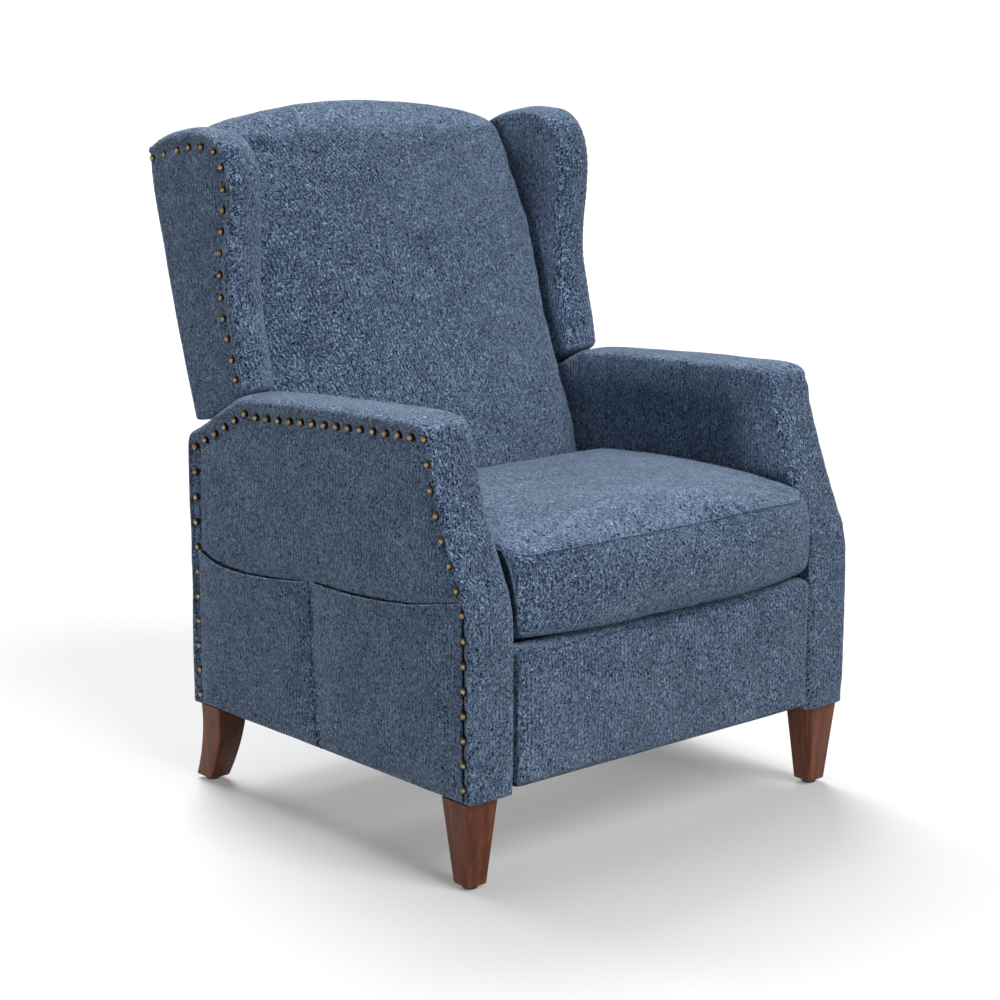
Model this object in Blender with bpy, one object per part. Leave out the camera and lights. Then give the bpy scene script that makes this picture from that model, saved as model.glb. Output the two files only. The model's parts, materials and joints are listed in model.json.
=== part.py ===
"""Push-back wing recliner armchair, modelled as an assembly of separate pieces.

Metres, +Z up, the chair faces -Y, +X is the sitter's left as seen from the front right.
The origin is on the floor under the centre of the bounding box.
"""
import math
import bpy
import bmesh
from mathutils import Vector

for ob in list(bpy.data.objects):
    bpy.data.objects.remove(ob, do_unlink=True)

# ----------------------------------------------------------------- dimensions
SEAT_FRONT = -0.440          # foremost point of the seat cushion
BACK_REAR = 0.352            # rearmost point of the back
YS = -(SEAT_FRONT + BACK_REAR) / 2.0   # shift that centres the depth on y = 0
GAP = 0.0003                 # gap between touching pieces

ARM_IN, ARM_OUT = 0.288, 0.370         # |x| of an arm's inner and outer faces
ARM_BOTTOM = 0.1275
LEG_TOP = 0.1272
GLIDE_H = 0.006
PANEL_FACE = 0.3635                    # |x| of the outside arm panel
WING_IN, WING_OUT = 0.288, 0.350

RECLINE_PIVOT = (0.155, 0.320)         # back hinge (y, z)
RECLINE_MAX = 33.0
SEAT_TRAVEL = 0.050

S1 = (-0.160, 0.275)                   # footrest linkage pivot on the seat plate
L1, L2 = 0.165, 0.325                  # crank link and long link
B_REST = (-0.345, 0.250)               # footrest bracket pivot, folded
B_OPEN = (-0.640, 0.360)               # footrest bracket pivot, extended (seat frame)
E_OFF = (0.0, -0.055)                  # control pivot below the bracket pivot
CRANK_TAIL = 1.20443                   # control pivot on the crank, in lengths of L1

SWING_L = 0.070                        # seat swing links
SWING_BASE_F = (-0.075, 0.205)
SWING_BASE_R = (0.105, 0.205)

BACK_BASE = (0.238, 0.554)             # a point on the rear plane of the back
BACK_LEAN = math.atan(0.274)

STEEL_T = 0.003
X_BASE, X_SWING, X_SEAT = 0.2845, 0.2805, 0.2765
X_CTRL, X_L1, X_L2, X_BRK = 0.2725, 0.2685, 0.2645, 0.2605

WING_NAIL_COUNT = 17


# ------------------------------------------------------------------ materials
def material(name, rgb, rough, metal):
    m = bpy.data.materials.new(name)
    m.use_nodes = True
    b = m.node_tree.nodes["Principled BSDF"]
    b.inputs["Base Color"].default_value = (rgb[0], rgb[1], rgb[2], 1.0)
    b.inputs["Roughness"].default_value = rough
    b.inputs["Metallic"].default_value = metal
    return m


FABRIC = material("blue_chenille", (0.085, 0.115, 0.160), 0.95, 0.0)
WOOD = material("stained_leg_wood", (0.090, 0.035, 0.022), 0.38, 0.0)
PLY = material("frame_wood", (0.55, 0.40, 0.24), 0.70, 0.0)
STEEL = material("black_steel", (0.035, 0.036, 0.038), 0.42, 0.85)
WIRE = material("spring_steel", (0.35, 0.36, 0.37), 0.35, 1.0)
BRASS = material("antique_brass", (0.36, 0.25, 0.12), 0.38, 1.0)
GLIDE = material("glide_plastic", (0.02, 0.018, 0.016), 0.5, 0.0)
WEB = material("webbing", (0.10, 0.10, 0.10), 0.9, 0.0)


# -------------------------------------------------------------------- helpers
def emit(name, bm, mat, origin=(0.0, 0.0), smooth=False):
    """Turn a bmesh in chair coordinates into an object with its origin at (0, y, z)."""
    bmesh.ops.recalc_face_normals(bm, faces=bm.faces)
    oy, oz = origin
    for v in bm.verts:
        v.co.y -= oy
        v.co.z -= oz
    me = bpy.data.meshes.new(name)
    bm.to_mesh(me)
    bm.free()
    me.materials.append(mat)
    ob = bpy.data.objects.new(name, me)
    bpy.context.scene.collection.objects.link(ob)
    ob.location = (0.0, oy + YS, oz)
    if smooth:
        me.shade_smooth()
        me.set_sharp_from_angle(angle=math.radians(35))
    return ob


def prism(poly, x0, x1, bm=None):
    """A (y, z) outline extruded from x0 to x1."""
    bm = bm or bmesh.new()
    a = [bm.verts.new((x0, p[0], p[1])) for p in poly]
    b = [bm.verts.new((x1, p[0], p[1])) for p in poly]
    bm.faces.new(a)
    bm.faces.new(list(reversed(b)))
    n = len(poly)
    for i in range(n):
        j = (i + 1) % n
        bm.faces.new((a[j], a[i], b[i], b[j]))
    return bm


def ring_prism(outer, inner, x0, x1):
    """A (y, z) ring: two outlines with the same number of points."""
    bm = bmesh.new()
    n = len(outer)
    oa = [bm.verts.new((x0, *p)) for p in outer]
    ia = [bm.verts.new((x0, *p)) for p in inner]
    ob = [bm.verts.new((x1, *p)) for p in outer]
    ib = [bm.verts.new((x1, *p)) for p in inner]
    for i in range(n):
        j = (i + 1) % n
        bm.faces.new((oa[i], oa[j], ia[j], ia[i]))
        bm.faces.new((ob[j], ob[i], ib[i], ib[j]))
        bm.faces.new((oa[j], oa[i], ob[i], ob[j]))
        bm.faces.new((ia[i], ia[j], ib[j], ib[i]))
    return bm


def box(x0, x1, y0, y1, z0, z1, bm=None):
    return prism([(y0, z0), (y1, z0), (y1, z1), (y0, z1)], x0, x1, bm)


def boolean(bm_a, bm_b, op):
    """Exact Boolean of two closed meshes, returned as a new bmesh."""
    obs = []
    for k, bm in enumerate((bm_a, bm_b)):
        bmesh.ops.recalc_face_normals(bm, faces=bm.faces)
        me = bpy.data.meshes.new("tmp%d" % k)
        bm.to_mesh(me)
        bm.free()
        ob = bpy.data.objects.new("tmp%d" % k, me)
        bpy.context.scene.collection.objects.link(ob)
        obs.append(ob)
    mod = obs[0].modifiers.new("b", 'BOOLEAN')
    mod.operation = op
    mod.object = obs[1]
    dg = bpy.context.evaluated_depsgraph_get()
    dg.update()
    me = bpy.data.meshes.new_from_object(obs[0].evaluated_get(dg))
    out = bmesh.new()
    out.from_mesh(me)
    for ob in obs:
        bpy.data.objects.remove(ob, do_unlink=True)
    bpy.data.meshes.remove(me)
    return out


def arc(c, r, a0, a1, n):
    """Points on an arc about c, angles in degrees from +y towards +z."""
    return [(c[0] + r * math.cos(math.radians(a0 + (a1 - a0) * k / n)),
             c[1] + r * math.sin(math.radians(a0 + (a1 - a0) * k / n))) for k in range(n + 1)]


def bar_outline(p, q, rp, rq, n=6):
    """Stadium outline about two pivots."""
    a = math.degrees(math.atan2(q[1] - p[1], q[0] - p[0]))
    return arc(p, rp, a + 90, a + 270, n) + arc(q, rq, a - 90, a + 90, n)


def hull(points):
    """Convex outline of (y, z) points."""
    pts = sorted(set((round(a, 7), round(b, 7)) for a, b in points))

    def half(seq):
        out = []
        for p in seq:
            while len(out) > 1 and ((out[-1][0] - out[-2][0]) * (p[1] - out[-2][1])
                                    - (out[-1][1] - out[-2][1]) * (p[0] - out[-2][0])) <= 0:
                out.pop()
            out.append(p)
        return out[:-1]
    return half(pts) + half(list(reversed(pts)))


def polar(c, r, deg):
    return (c[0] + r * math.cos(math.radians(deg)), c[1] + r * math.sin(math.radians(deg)))


def cyl_x(c, r, x0, x1, n=10):
    return prism(arc(c, r, 0, 360 * (n - 1) / n, n - 1), x0, x1)


def with_bosses(bm, bosses):
    """Round pivot heads, each (centre, radius, x0, x1), joined onto a link."""
    for c, r, x0, x1 in bosses:
        bm = boolean(bm, cyl_x(c, r, x0, x1), 'UNION')
    return bm


def both(fn):
    """Make the left-hand (-X) and right-hand (+X) copies of a piece."""
    fn("left", -1.0)
    fn("right", 1.0)


def xs(side, a, b):
    return (side * a, side * b) if side > 0 else (side * b, side * a)


# ------------------------------------------------------------ linkage geometry
def solve(b):
    """Angle of the crank for a bracket pivot at b, knuckle below the line."""
    vy, vz = b[0] - S1[0], b[1] - S1[1]
    d = math.hypot(vy, vz)
    g = math.acos((d * d + L1 * L1 - L2 * L2) / (2 * d * L1))
    a = math.atan2(vz, vy) + g
    return (S1[0] + L1 * math.cos(a), S1[1] + L1 * math.sin(a)), math.degrees(a)


K_REST, CRANK_REST = solve(B_REST)
D_REST = polar(S1, L1 * CRANK_TAIL, CRANK_REST)
E_REST = (B_REST[0] + E_OFF[0], B_REST[1] + E_OFF[1])
ROD_G = polar(RECLINE_PIVOT, 0.0850, 232.8)     # push rod pivot on the back bracket
ROD_H = polar(S1, 0.0182, 309.0)                # push rod end on the crank

# --------------------------------------------------------------- arm outlines
ARM_PROFILE = [(0.231, ARM_BOTTOM), (0.231, 0.538), (0.098, 0.611), (0.0, 0.619),
               (-0.150, 0.627), (-0.275, 0.632), (-0.304, 0.631), (-0.318, 0.625),
               (-0.326, 0.613), (-0.3310, 0.588), (-0.3385, 0.560), (-0.3530, 0.5165),
               (-0.3700, 0.474), (-0.3880, 0.436), (-0.4030, 0.402), (-0.4090, 0.372),
               (-0.4095, 0.350), (-0.4095, ARM_BOTTOM)]


def shrink(poly, d):
    """Offset a (y, z) outline inwards by d, corners mitred."""
    n = len(poly)
    area = sum(poly[i][0] * poly[(i + 1) % n][1] - poly[(i + 1) % n][0] * poly[i][1]
               for i in range(n))
    s = 1.0 if area > 0 else -1.0
    out = []
    for i in range(n):
        p0, p1, p2 = poly[i - 1], poly[i], poly[(i + 1) % n]
        e1 = Vector((p1[0] - p0[0], p1[1] - p0[1])).normalized()
        e2 = Vector((p2[0] - p1[0], p2[1] - p1[1])).normalized()
        n1 = Vector((-e1.y, e1.x)) * s
        n2 = Vector((-e2.y, e2.x)) * s
        m = (n1 + n2).normalized()
        k = d / max(0.35, m.dot(n1))
        out.append((p1[0] + m.x * k, p1[1] + m.y * k))
    return out


# nail head positions: each stretch of the row is evenly divided
ARM_STRETCHES = [([(0.2140, 0.1430), (0.2110, 0.5220)], 10),
                 ([(0.2110, 0.5220), (0.0840, 0.5875)], 5),
                 ([(0.0840, 0.5875), (0.0300, 0.5880), (-0.0600, 0.5945), (-0.1900, 0.6030),
                   (-0.3180, 0.6085)], 15),
                 ([(-0.3180, 0.6085), (-0.3235, 0.5840), (-0.3305, 0.5560), (-0.3440, 0.5145),
                   (-0.3610, 0.4720), (-0.3785, 0.4345), (-0.3935, 0.4000), (-0.3985, 0.3710),
                   (-0.3985, 0.3500), (-0.3985, 0.1500)], 14)]
NAIL_LINE = [ARM_STRETCHES[0][0][0]] + [p for path, _ in ARM_STRETCHES for p in path[1:]]
PANEL_OUTLINE = shrink([(NAIL_LINE[0][0], ARM_BOTTOM - 0.0045)] + NAIL_LINE[1:-1]
                       + [(NAIL_LINE[-1][0], ARM_BOTTOM - 0.0045)], 0.0045)


def make_arm(tag, s):
    # upholstered cover: padded band round the edge, hollow, open below
    bm = prism(ARM_PROFILE, *xs(s, ARM_IN, ARM_OUT))
    recess = [(p[0], p[1] - (0.02 if p[1] < 0.13 else 0.0)) for p in PANEL_OUTLINE]
    bm = boolean(bm, prism(recess, *xs(s, PANEL_FACE - 0.0063, ARM_OUT + 0.01)), 'DIFFERENCE')
    cav = shrink(ARM_PROFILE, 0.014)
    cav = [(p[0], p[1] - (0.04 if p[1] < 0.16 else 0.0)) for p in cav]
    bm = boolean(bm, prism(cav, *xs(s, 0.298, 0.3515)), 'DIFFERENCE')
    emit("arm_cover_" + tag, bm, FABRIC)
    # wooden arm frame inside the cover
    outer = shrink(ARM_PROFILE, 0.0155)
    outer = [(p[0], p[1] if p[1] > 0.16 else ARM_BOTTOM + 0.0005) for p in outer]
    inner = shrink(ARM_PROFILE, 0.070)
    emit("arm_frame_" + tag, ring_prism(outer, inner, *xs(s, 0.3005, 0.3305)), PLY)
    # outside arm panel, let into the band
    emit("arm_panel_" + tag,
         prism(shrink(PANEL_OUTLINE, 0.0006), *xs(s, PANEL_FACE - 0.0060, PANEL_FACE)), FABRIC)


both(make_arm)


def make_pocket(tag, s):
    """Two side pockets sewn as one pouch: open along the top, seam in the middle."""
    top_r, top_c, top_f = 0.3600, 0.3700, 0.3900
    y_r, y_c, y_f = 0.2060, -0.0670, -0.3880
    z_b = ARM_BOTTOM + 0.0005
    outline = [(y_r, z_b), (y_r, top_r), (0.080, 0.3535), (y_c, top_c),
               (-0.220, 0.3740), (y_f + 0.0060, top_f), (y_f, 0.3700), (y_f, z_b)]
    bm = prism(outline, *xs(s, PANEL_FACE + GAP, 0.3724))
    for a, b in ((y_r - 0.006, y_c + 0.004), (y_c - 0.004, y_f + 0.020)):
        bm = boolean(bm, box(*xs(s, PANEL_FACE - 0.01, 0.3702),
                             b, a, z_b + 0.008, 0.45), 'DIFFERENCE')
    emit("side_pocket_" + tag, bm, FABRIC)


both(make_pocket)


def resample(path, n):
    """Points that divide a polyline into n even steps, ends included."""
    seg = [math.dist(path[i], path[i + 1]) for i in range(len(path) - 1)]
    total = sum(seg)
    out = []
    for k in range(n + 1):
        d = total * k / n
        i = 0
        while i < len(seg) - 1 and d > seg[i]:
            d -= seg[i]
            i += 1
        t = min(1.0, d / seg[i])
        out.append((path[i][0] + (path[i + 1][0] - path[i][0]) * t,
                    path[i][1] + (path[i + 1][1] - path[i][1]) * t))
    return out


def nail_trim(name, pts, x_face, s, origin=(0.0, 0.0)):
    """A flat trim strip with a raised nail head at every point."""
    w, a, t, h = 0.0040, 0.0042, 0.0016, 0.0030
    bm = bmesh.new()
    rows = []
    for i, p in enumerate(pts):
        q0 = pts[max(0, i - 1)]
        q1 = pts[min(len(pts) - 1, i + 1)]
        d = Vector((q1[0] - q0[0], q1[1] - q0[1])).normalized()
        m = Vector((-d.y, d.x))
        for e in (-a, a):
            c = Vector(p) + d * e
            rows.append([bm.verts.new((s * x, *(c + m * k)))
                         for k, x in ((-w, x_face), (w, x_face), (w, x_face + t), (-w, x_face + t))])
    for i in range(len(rows) - 1):
        r0, r1 = rows[i], rows[i + 1]
        bm.faces.new((r0[0], r0[1], r1[1], r1[0]))
        bm.faces.new((r0[1], r0[2], r1[2], r1[1]))
        bm.faces.new((r0[3], r0[0], r1[0], r1[3]))
        top = (r0[2], r0[3], r1[3], r1[2])
        if i % 2 == 0:
            c = sum((v.co for v in top), Vector()) / 4.0
            up = [bm.verts.new(c + (v.co - c) * 0.6 + Vector((s * h, 0, 0))) for v in top]
            for k in range(4):
                j = (k + 1) % 4
                bm.faces.new((top[k], top[j], up[j], up[k]))
            bm.faces.new(up)
        else:
            bm.faces.new(top)
    bm.faces.new(rows[0])
    bm.faces.new(list(reversed(rows[-1])))
    emit(name, bm, BRASS, origin)


# the nails sit on the band, just outside the panel edge
ARM_NAILS = []
for path, count in ARM_STRETCHES:
    part_pts = resample(path, count)
    ARM_NAILS += part_pts if not ARM_NAILS else part_pts[1:]
both(lambda tag, s: nail_trim("arm_nail_trim_" + tag, ARM_NAILS, ARM_OUT + GAP, s))


# ----------------------------------------------------------------------- legs
def loft(sections, n_sub=1):
    """Loft of horizontal rectangles: (cx, cy, half_x, half_y, z, corner chamfer)."""
    bm = bmesh.new()
    rings = []
    for cx, cy, hx, hy, z, c in sections:
        pts = [(hx - c, -hy), (hx, -hy + c), (hx, hy - c), (hx - c, hy),
               (-hx + c, hy), (-hx, hy - c), (-hx, -hy + c), (-hx + c, -hy)]
        rings.append([bm.verts.new((cx + px, cy + py, z)) for px, py in pts])
    for r0, r1 in zip(rings, rings[1:]):
        for i in range(8):
            j = (i + 1) % 8
            bm.faces.new((r0[i], r0[j], r1[j], r1[i]))
    bm.faces.new(list(reversed(rings[0])))
    bm.faces.new(rings[-1])
    return bm


def make_legs(tag, s):
    fx, fy = 0.337, -0.3735
    emit("leg_front_" + tag,
         loft([(s * fx, fy, 0.016, 0.016, GLIDE_H + GAP, 0.002),
               (s * fx, fy, 0.027, 0.027, LEG_TOP, 0.003)]), WOOD)
    rx = 0.337
    secs = []
    for k in range(7):
        t = k / 6.0                               # 0 at the floor, 1 at the top
        cy = 0.2330 - 0.0350 * (1 - (1 - t) ** 1.9)
        secs.append((s * rx, cy, 0.0170 + 0.009 * t, 0.0195 + 0.0045 * t,
                     GLIDE_H + GAP + (LEG_TOP - GLIDE_H - GAP) * t, 0.002 + 0.001 * t))
    emit("leg_rear_" + tag, loft(secs), WOOD)
    for end, cx, cy in (("front", fx, fy), ("rear", rx, 0.2330)):
        bm = bmesh.new()
        bmesh.ops.create_cone(bm, cap_ends=True, segments=14, radius1=0.0095, radius2=0.011,
                              depth=GLIDE_H)
        bmesh.ops.translate(bm, verts=bm.verts, vec=(s * cx, cy, GLIDE_H / 2))
        emit("glide_%s_%s" % (end, tag), bm, GLIDE, smooth=True)


both(make_legs)

# ----------------------------------------------------------------- base parts
emit("rear_cross_rail", box(-ARM_IN + 0.0006, ARM_IN - 0.0006, 0.196, 0.226, 0.1280, 0.215), FABRIC)


def base_plate(tag, s):
    x0, x1 = xs(s, X_BASE, X_BASE + STEEL_T)
    out = [(-0.120, 0.158), (0.165, 0.158), (0.165, 0.196), (0.128, 0.230), (0.082, 0.230),
           (0.050, 0.206), (-0.020, 0.206), (-0.052, 0.230), (-0.098, 0.230), (-0.120, 0.205)]
    bm = prism(out, x0, x1)
    xi = s * X_BASE
    bosses = [(c, 0.0075, *sorted((xi - s * 0.0007, xi + s * 0.001)))
              for c in (SWING_BASE_F, SWING_BASE_R)]
    emit("base_plate_" + tag, with_bosses(bm, bosses), STEEL)


both(base_plate)
emit("cross_tube", cyl_x((0.135, 0.174), 0.011, -X_BASE + GAP, X_BASE - GAP, 14), STEEL, smooth=True)

# ----------------------------------------------------------- seat swing links
SW = math.degrees(math.asin(SEAT_TRAVEL / 2 / SWING_L))


def swing(tag, s, end, base):
    top = polar(base, SWING_L, 90 - SW)
    x0, x1 = xs(s, X_SWING, X_SWING + STEEL_T)
    xi = s * X_SWING
    bm = prism(bar_outline(base, top, 0.011, 0.011), x0, x1)
    bm = with_bosses(bm, [(top, 0.0075, *sorted((xi - s * 0.0007, xi + s * 0.001)))])
    emit("swing_link_%s_%s" % (end, tag), bm, STEEL, base)


both(lambda t, s: swing(t, s, "front", SWING_BASE_F))
both(lambda t, s: swing(t, s, "rear", SWING_BASE_R))
TOP_F = polar(SWING_BASE_F, SWING_L, 90 - SW)
TOP_R = polar(SWING_BASE_R, SWING_L, 90 - SW)

# ------------------------------------------------------------------ seat body
RX = 0.2760
emit("seat_rail_front", box(-RX, RX, -0.362, -0.338, 0.3030, 0.3405), PLY)
emit("seat_rail_rear", box(-RX, RX, 0.024, 0.048, 0.3030, 0.3405), PLY)


def seat_side(tag, s):
    emit("seat_rail_" + tag, box(*xs(s, 0.2520, RX), -0.338 + GAP, 0.024 - GAP, 0.3030, 0.3405), PLY)
    # steel seat plate on the outer face of the side rail
    x0, x1 = xs(s, X_SEAT, X_SEAT + STEEL_T)
    out = [(-0.178, 0.262), (-0.142, 0.262), (-0.118, 0.288), (-0.076, 0.288), (-0.062, 0.260),
           (-0.038, 0.260), (-0.024, 0.288), (0.104, 0.288), (0.118, 0.260), (0.142, 0.260),
           (0.150, 0.290), (0.168, 0.312), (0.168, 0.328), (0.160, 0.333), (-0.250, 0.333),
           (-0.250, 0.300), (-0.178, 0.294)]
    xi = s * X_SEAT
    bosses = [(S1, 0.0085, *sorted((xi - s * 0.0047, xi + s * 0.001))),
              (RECLINE_PIVOT, 0.0090, *sorted((xi - s * 0.0007, xi + s * 0.001)))]
    emit("seat_plate_" + tag, with_bosses(prism(out, x0, x1), bosses), STEEL)


both(seat_side)


def zigzag(name, cx):
    """Sinuous seat spring: a flat wave of square-section wire from rail to rail."""
    y0, y1, amp, n, r = -0.338 + GAP, 0.024 - GAP, 0.021, 15, 0.0016
    z = 0.3385
    path = [(cx, y0)]
    for k in range(n):
        c = y0 + (y1 - y0) * (k + 0.5) / n
        e = (y1 - y0) / n * 0.30
        sx = amp if k % 2 == 0 else -amp
        path += [(cx + sx, c - e), (cx + sx, c + e)]
    path.append((cx, y1))
    bm = bmesh.new()
    rings = []
    for i, p in enumerate(path):
        a = Vector(path[max(0, i - 1)])
        b = Vector(path[min(len(path) - 1, i + 1)])
        d = (b - a).normalized() if 0 < i < len(path) - 1 else Vector((0, 1))
        m = Vector((-d.y, d.x))
        rings.append([bm.verts.new((p[0] + m.x * u, p[1] + m.y * u, z + w))
                      for u, w in ((-r, -r), (r, -r), (r, r), (-r, r))])
    for r0, r1 in zip(rings, rings[1:]):
        for i in range(4):
            j = (i + 1) % 4
            bm.faces.new((r0[i], r0[j], r1[j], r1[i]))
    bm.faces.new(list(reversed(rings[0])))
    bm.faces.new(rings[-1])
    emit(name, bm, WIRE)


for i, cx in enumerate((-0.130, 0.0, 0.130)):
    zigzag("seat_spring_%d" % (i + 1), cx)

SEAT_PROFILE = [(0.055, 0.3425), (0.055, 0.448), (0.040, 0.462), (-0.020, 0.474),
                (-0.130, 0.484), (-0.260, 0.488), (-0.350, 0.482), (-0.405, 0.470),
                (-0.432, 0.455), (SEAT_FRONT, 0.430), (SEAT_FRONT, 0.362), (-0.432, 0.347),
                (-0.422, 0.3425)]


def seat_cushion():
    bm = bmesh.new()
    st = []
    for k in range(-4, 5):
        u = k / 4.0
        x = 0.2850 * u
        rows = []
        for y, z in SEAT_PROFILE:
            zz = z - (0.016 * u * u if z > 0.45 else 0.0)
            yy = y + (0.022 * u ** 4 if y < -0.40 else 0.0)
            rows.append(bm.verts.new((x, yy, zz)))
        st.append(rows)
    n = len(SEAT_PROFILE)
    for a, b in zip(st, st[1:]):
        for i in range(n):
            j = (i + 1) % n
            bm.faces.new((a[i], a[j], b[j], b[i]))
    bm.faces.new(list(reversed(st[0])))
    bm.faces.new(st[-1])
    emit("seat_cushion", bm, FABRIC)


seat_cushion()


# ------------------------------------------------------------------ back body
def bk(u, v):
    """(y, z) of a point u ahead of the rear plane and v up along it."""
    c, s = math.cos(BACK_LEAN), math.sin(BACK_LEAN)
    return (BACK_BASE[0] - u * c + v * s, BACK_BASE[1] + u * s + v * c)


def slab(outline_xv, u0, u1, hole=None):
    """An (x, v) outline on the back's plane, from depth u0 to u1."""
    bm = bmesh.new()

    def vert(x, v, u):
        y, z = bk(u, v)
        return bm.verts.new((x, y, z))
    n = len(outline_xv)
    a = [vert(x, v, u0) for x, v in outline_xv]
    b = [vert(x, v, u1) for x, v in outline_xv]
    for i in range(n):
        j = (i + 1) % n
        bm.faces.new((a[j], a[i], b[i], b[j]))
    if hole is None:
        bm.faces.new(a)
        bm.faces.new(list(reversed(b)))
    else:
        c = [vert(x, v, u0) for x, v in hole]
        d = [vert(x, v, u1) for x, v in hole]
        for i in range(n):
            j = (i + 1) % n
            bm.faces.new((a[i], a[j], c[j], c[i]))
            bm.faces.new((b[j], b[i], d[i], d[j]))
            bm.faces.new((c[i], c[j], d[j], d[i]))
    return bm


panel = [(-0.2845, -0.232), (0.2845, -0.232), (0.2845, 0.004), (0.350, 0.004), (0.350, 0.410),
         (0.289, 0.410), (0.284, 0.396), (0.190, 0.410), (0.095, 0.419), (0.0, 0.422),
         (-0.095, 0.419), (-0.190, 0.410), (-0.284, 0.396), (-0.289, 0.410),
         (-0.350, 0.410), (-0.350, 0.004), (-0.2845, 0.004)]
emit("outside_back_panel", slab(panel, 0.0, 0.0080), FABRIC, RECLINE_PIVOT)
FX, FI = 0.2700, 0.2150
emit("back_frame", slab([(-FX, -0.190), (FX, -0.190), (FX, 0.378), (-FX, 0.378)], 0.0084, 0.0336,
                        [(-FI, -0.120), (FI, -0.120), (FI, 0.320), (-FI, 0.320)]), PLY, RECLINE_PIVOT)
for i, v in enumerate((0.000, 0.200)):
    emit("back_strap_%d" % (i + 1),
         slab([(-FI + GAP, v - 0.025), (FI - GAP, v - 0.025), (FI - GAP, v + 0.025),
               (-FI + GAP, v + 0.025)], 0.0200, 0.0225), WEB, RECLINE_PIVOT)

BACK_FRONT = [(0.084, 0.358), (0.068, 0.366), (0.0625, 0.400), (0.067, 0.455), (0.082, 0.515),
              (0.106, 0.567), (0.128, 0.628), (0.148, 0.679), (0.167, 0.740), (0.189, 0.812),
              (0.218, 0.875), (0.247, 0.932), (0.268, 0.973), (0.290, 0.999), (0.318, 1.010),
              (0.342, 1.002), (BACK_REAR, 0.984)]


def back_cushion():
    rear = [bk(0.0092, 0.436), bk(0.0092, 0.3785), bk(0.0341, 0.3785), bk(0.0341, -0.212)]
    prof = BACK_FRONT + rear
    top = len(BACK_FRONT)
    bm = bmesh.new()
    st = []
    for k in range(-4, 5):
        u = k / 4.0
        rows = []
        for i, (y, z) in enumerate(prof):
            drop = 0.0
            if z > 0.90 and i <= top:
                drop = 0.034 * u * u * min(1.0, (z - 0.90) / 0.08)
            bow = 0.010 * u * u if i < top - 5 else 0.0
            rows.append(bm.verts.new((0.2845 * u, y + bow - drop * 0.274, z - drop)))
        st.append(rows)
    n = len(prof)
    for a, b in zip(st, st[1:]):
        for i in range(n):
            j = (i + 1) % n
            bm.faces.new((a[i], a[j], b[j], b[i]))
    bm.faces.new(list(reversed(st[0])))
    bm.faces.new(st[-1])
    emit("back_cushion", bm, FABRIC, RECLINE_PIVOT)


back_cushion()

WING_FRONT = [(0.1095, 0.6140), (0.113, 0.647), (0.122, 0.686), (0.131, 0.726), (0.136, 0.757),
              (0.135, 0.804), (0.131, 0.850), (0.1305, 0.904), (0.1355, 0.937), (0.147, 0.961),
              (0.165, 0.9775), (0.192, 0.9865), (0.240, 0.9885), (0.290, 0.9800), (0.322, 0.9685)]
WING_NAILS = [(0.3290, 0.9330), (0.2685, 0.9480), (0.2375, 0.9540), (0.2055, 0.9560),
              (0.1755, 0.9490), (0.1575, 0.9310), (0.1530, 0.9010), (0.1575, 0.8710),
              (0.1655, 0.8090), (0.1670, 0.7760), (0.1655, 0.7460), (0.1610, 0.7150),
              (0.1525, 0.6860), (0.1425, 0.6570), (0.1335, 0.6330)]


def make_wing(tag, s):
    prof = WING_FRONT + [bk(0.0084, 0.413), bk(0.0084, 0.000), (0.214, 0.5595), (0.116, 0.6115)]
    emit("wing_" + tag, prism(prof, *xs(s, WING_IN, WING_OUT)), FABRIC, RECLINE_PIVOT)
    nail_trim("wing_nail_trim_" + tag, resample(WING_NAILS, WING_NAIL_COUNT - 1), WING_OUT + GAP, s, RECLINE_PIVOT)
    # steel bracket from the recline pivot up the side of the back frame
    x0, x1 = xs(s, X_CTRL - 0.0006, X_CTRL + STEEL_T - 0.0006)
    out = hull(arc(RECLINE_PIVOT, 0.0095, 0, 330, 11) + [bk(0.0100, -0.200), bk(0.0320, -0.200)])
    low = hull(arc(RECLINE_PIVOT, 0.0095, 0, 330, 11) + arc(ROD_G, 0.011, 0, 330, 11))
    bm = boolean(prism(out, x0, x1), prism(low, x0, x1), 'UNION')
    strip = [bk(0.0100, -0.205), bk(0.0320, -0.205), bk(0.0320, -0.020), bk(0.0100, -0.020)]
    bm = boolean(bm, prism(strip, x0, x1), 'UNION')
    xi = s * (X_CTRL - 0.0006)
    bm = with_bosses(bm, [(ROD_G, 0.0070, *sorted((xi - s * 0.0041, xi + s * 0.001)))])
    emit("back_bracket_" + tag, bm, STEEL, RECLINE_PIVOT)


both(make_wing)


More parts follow.
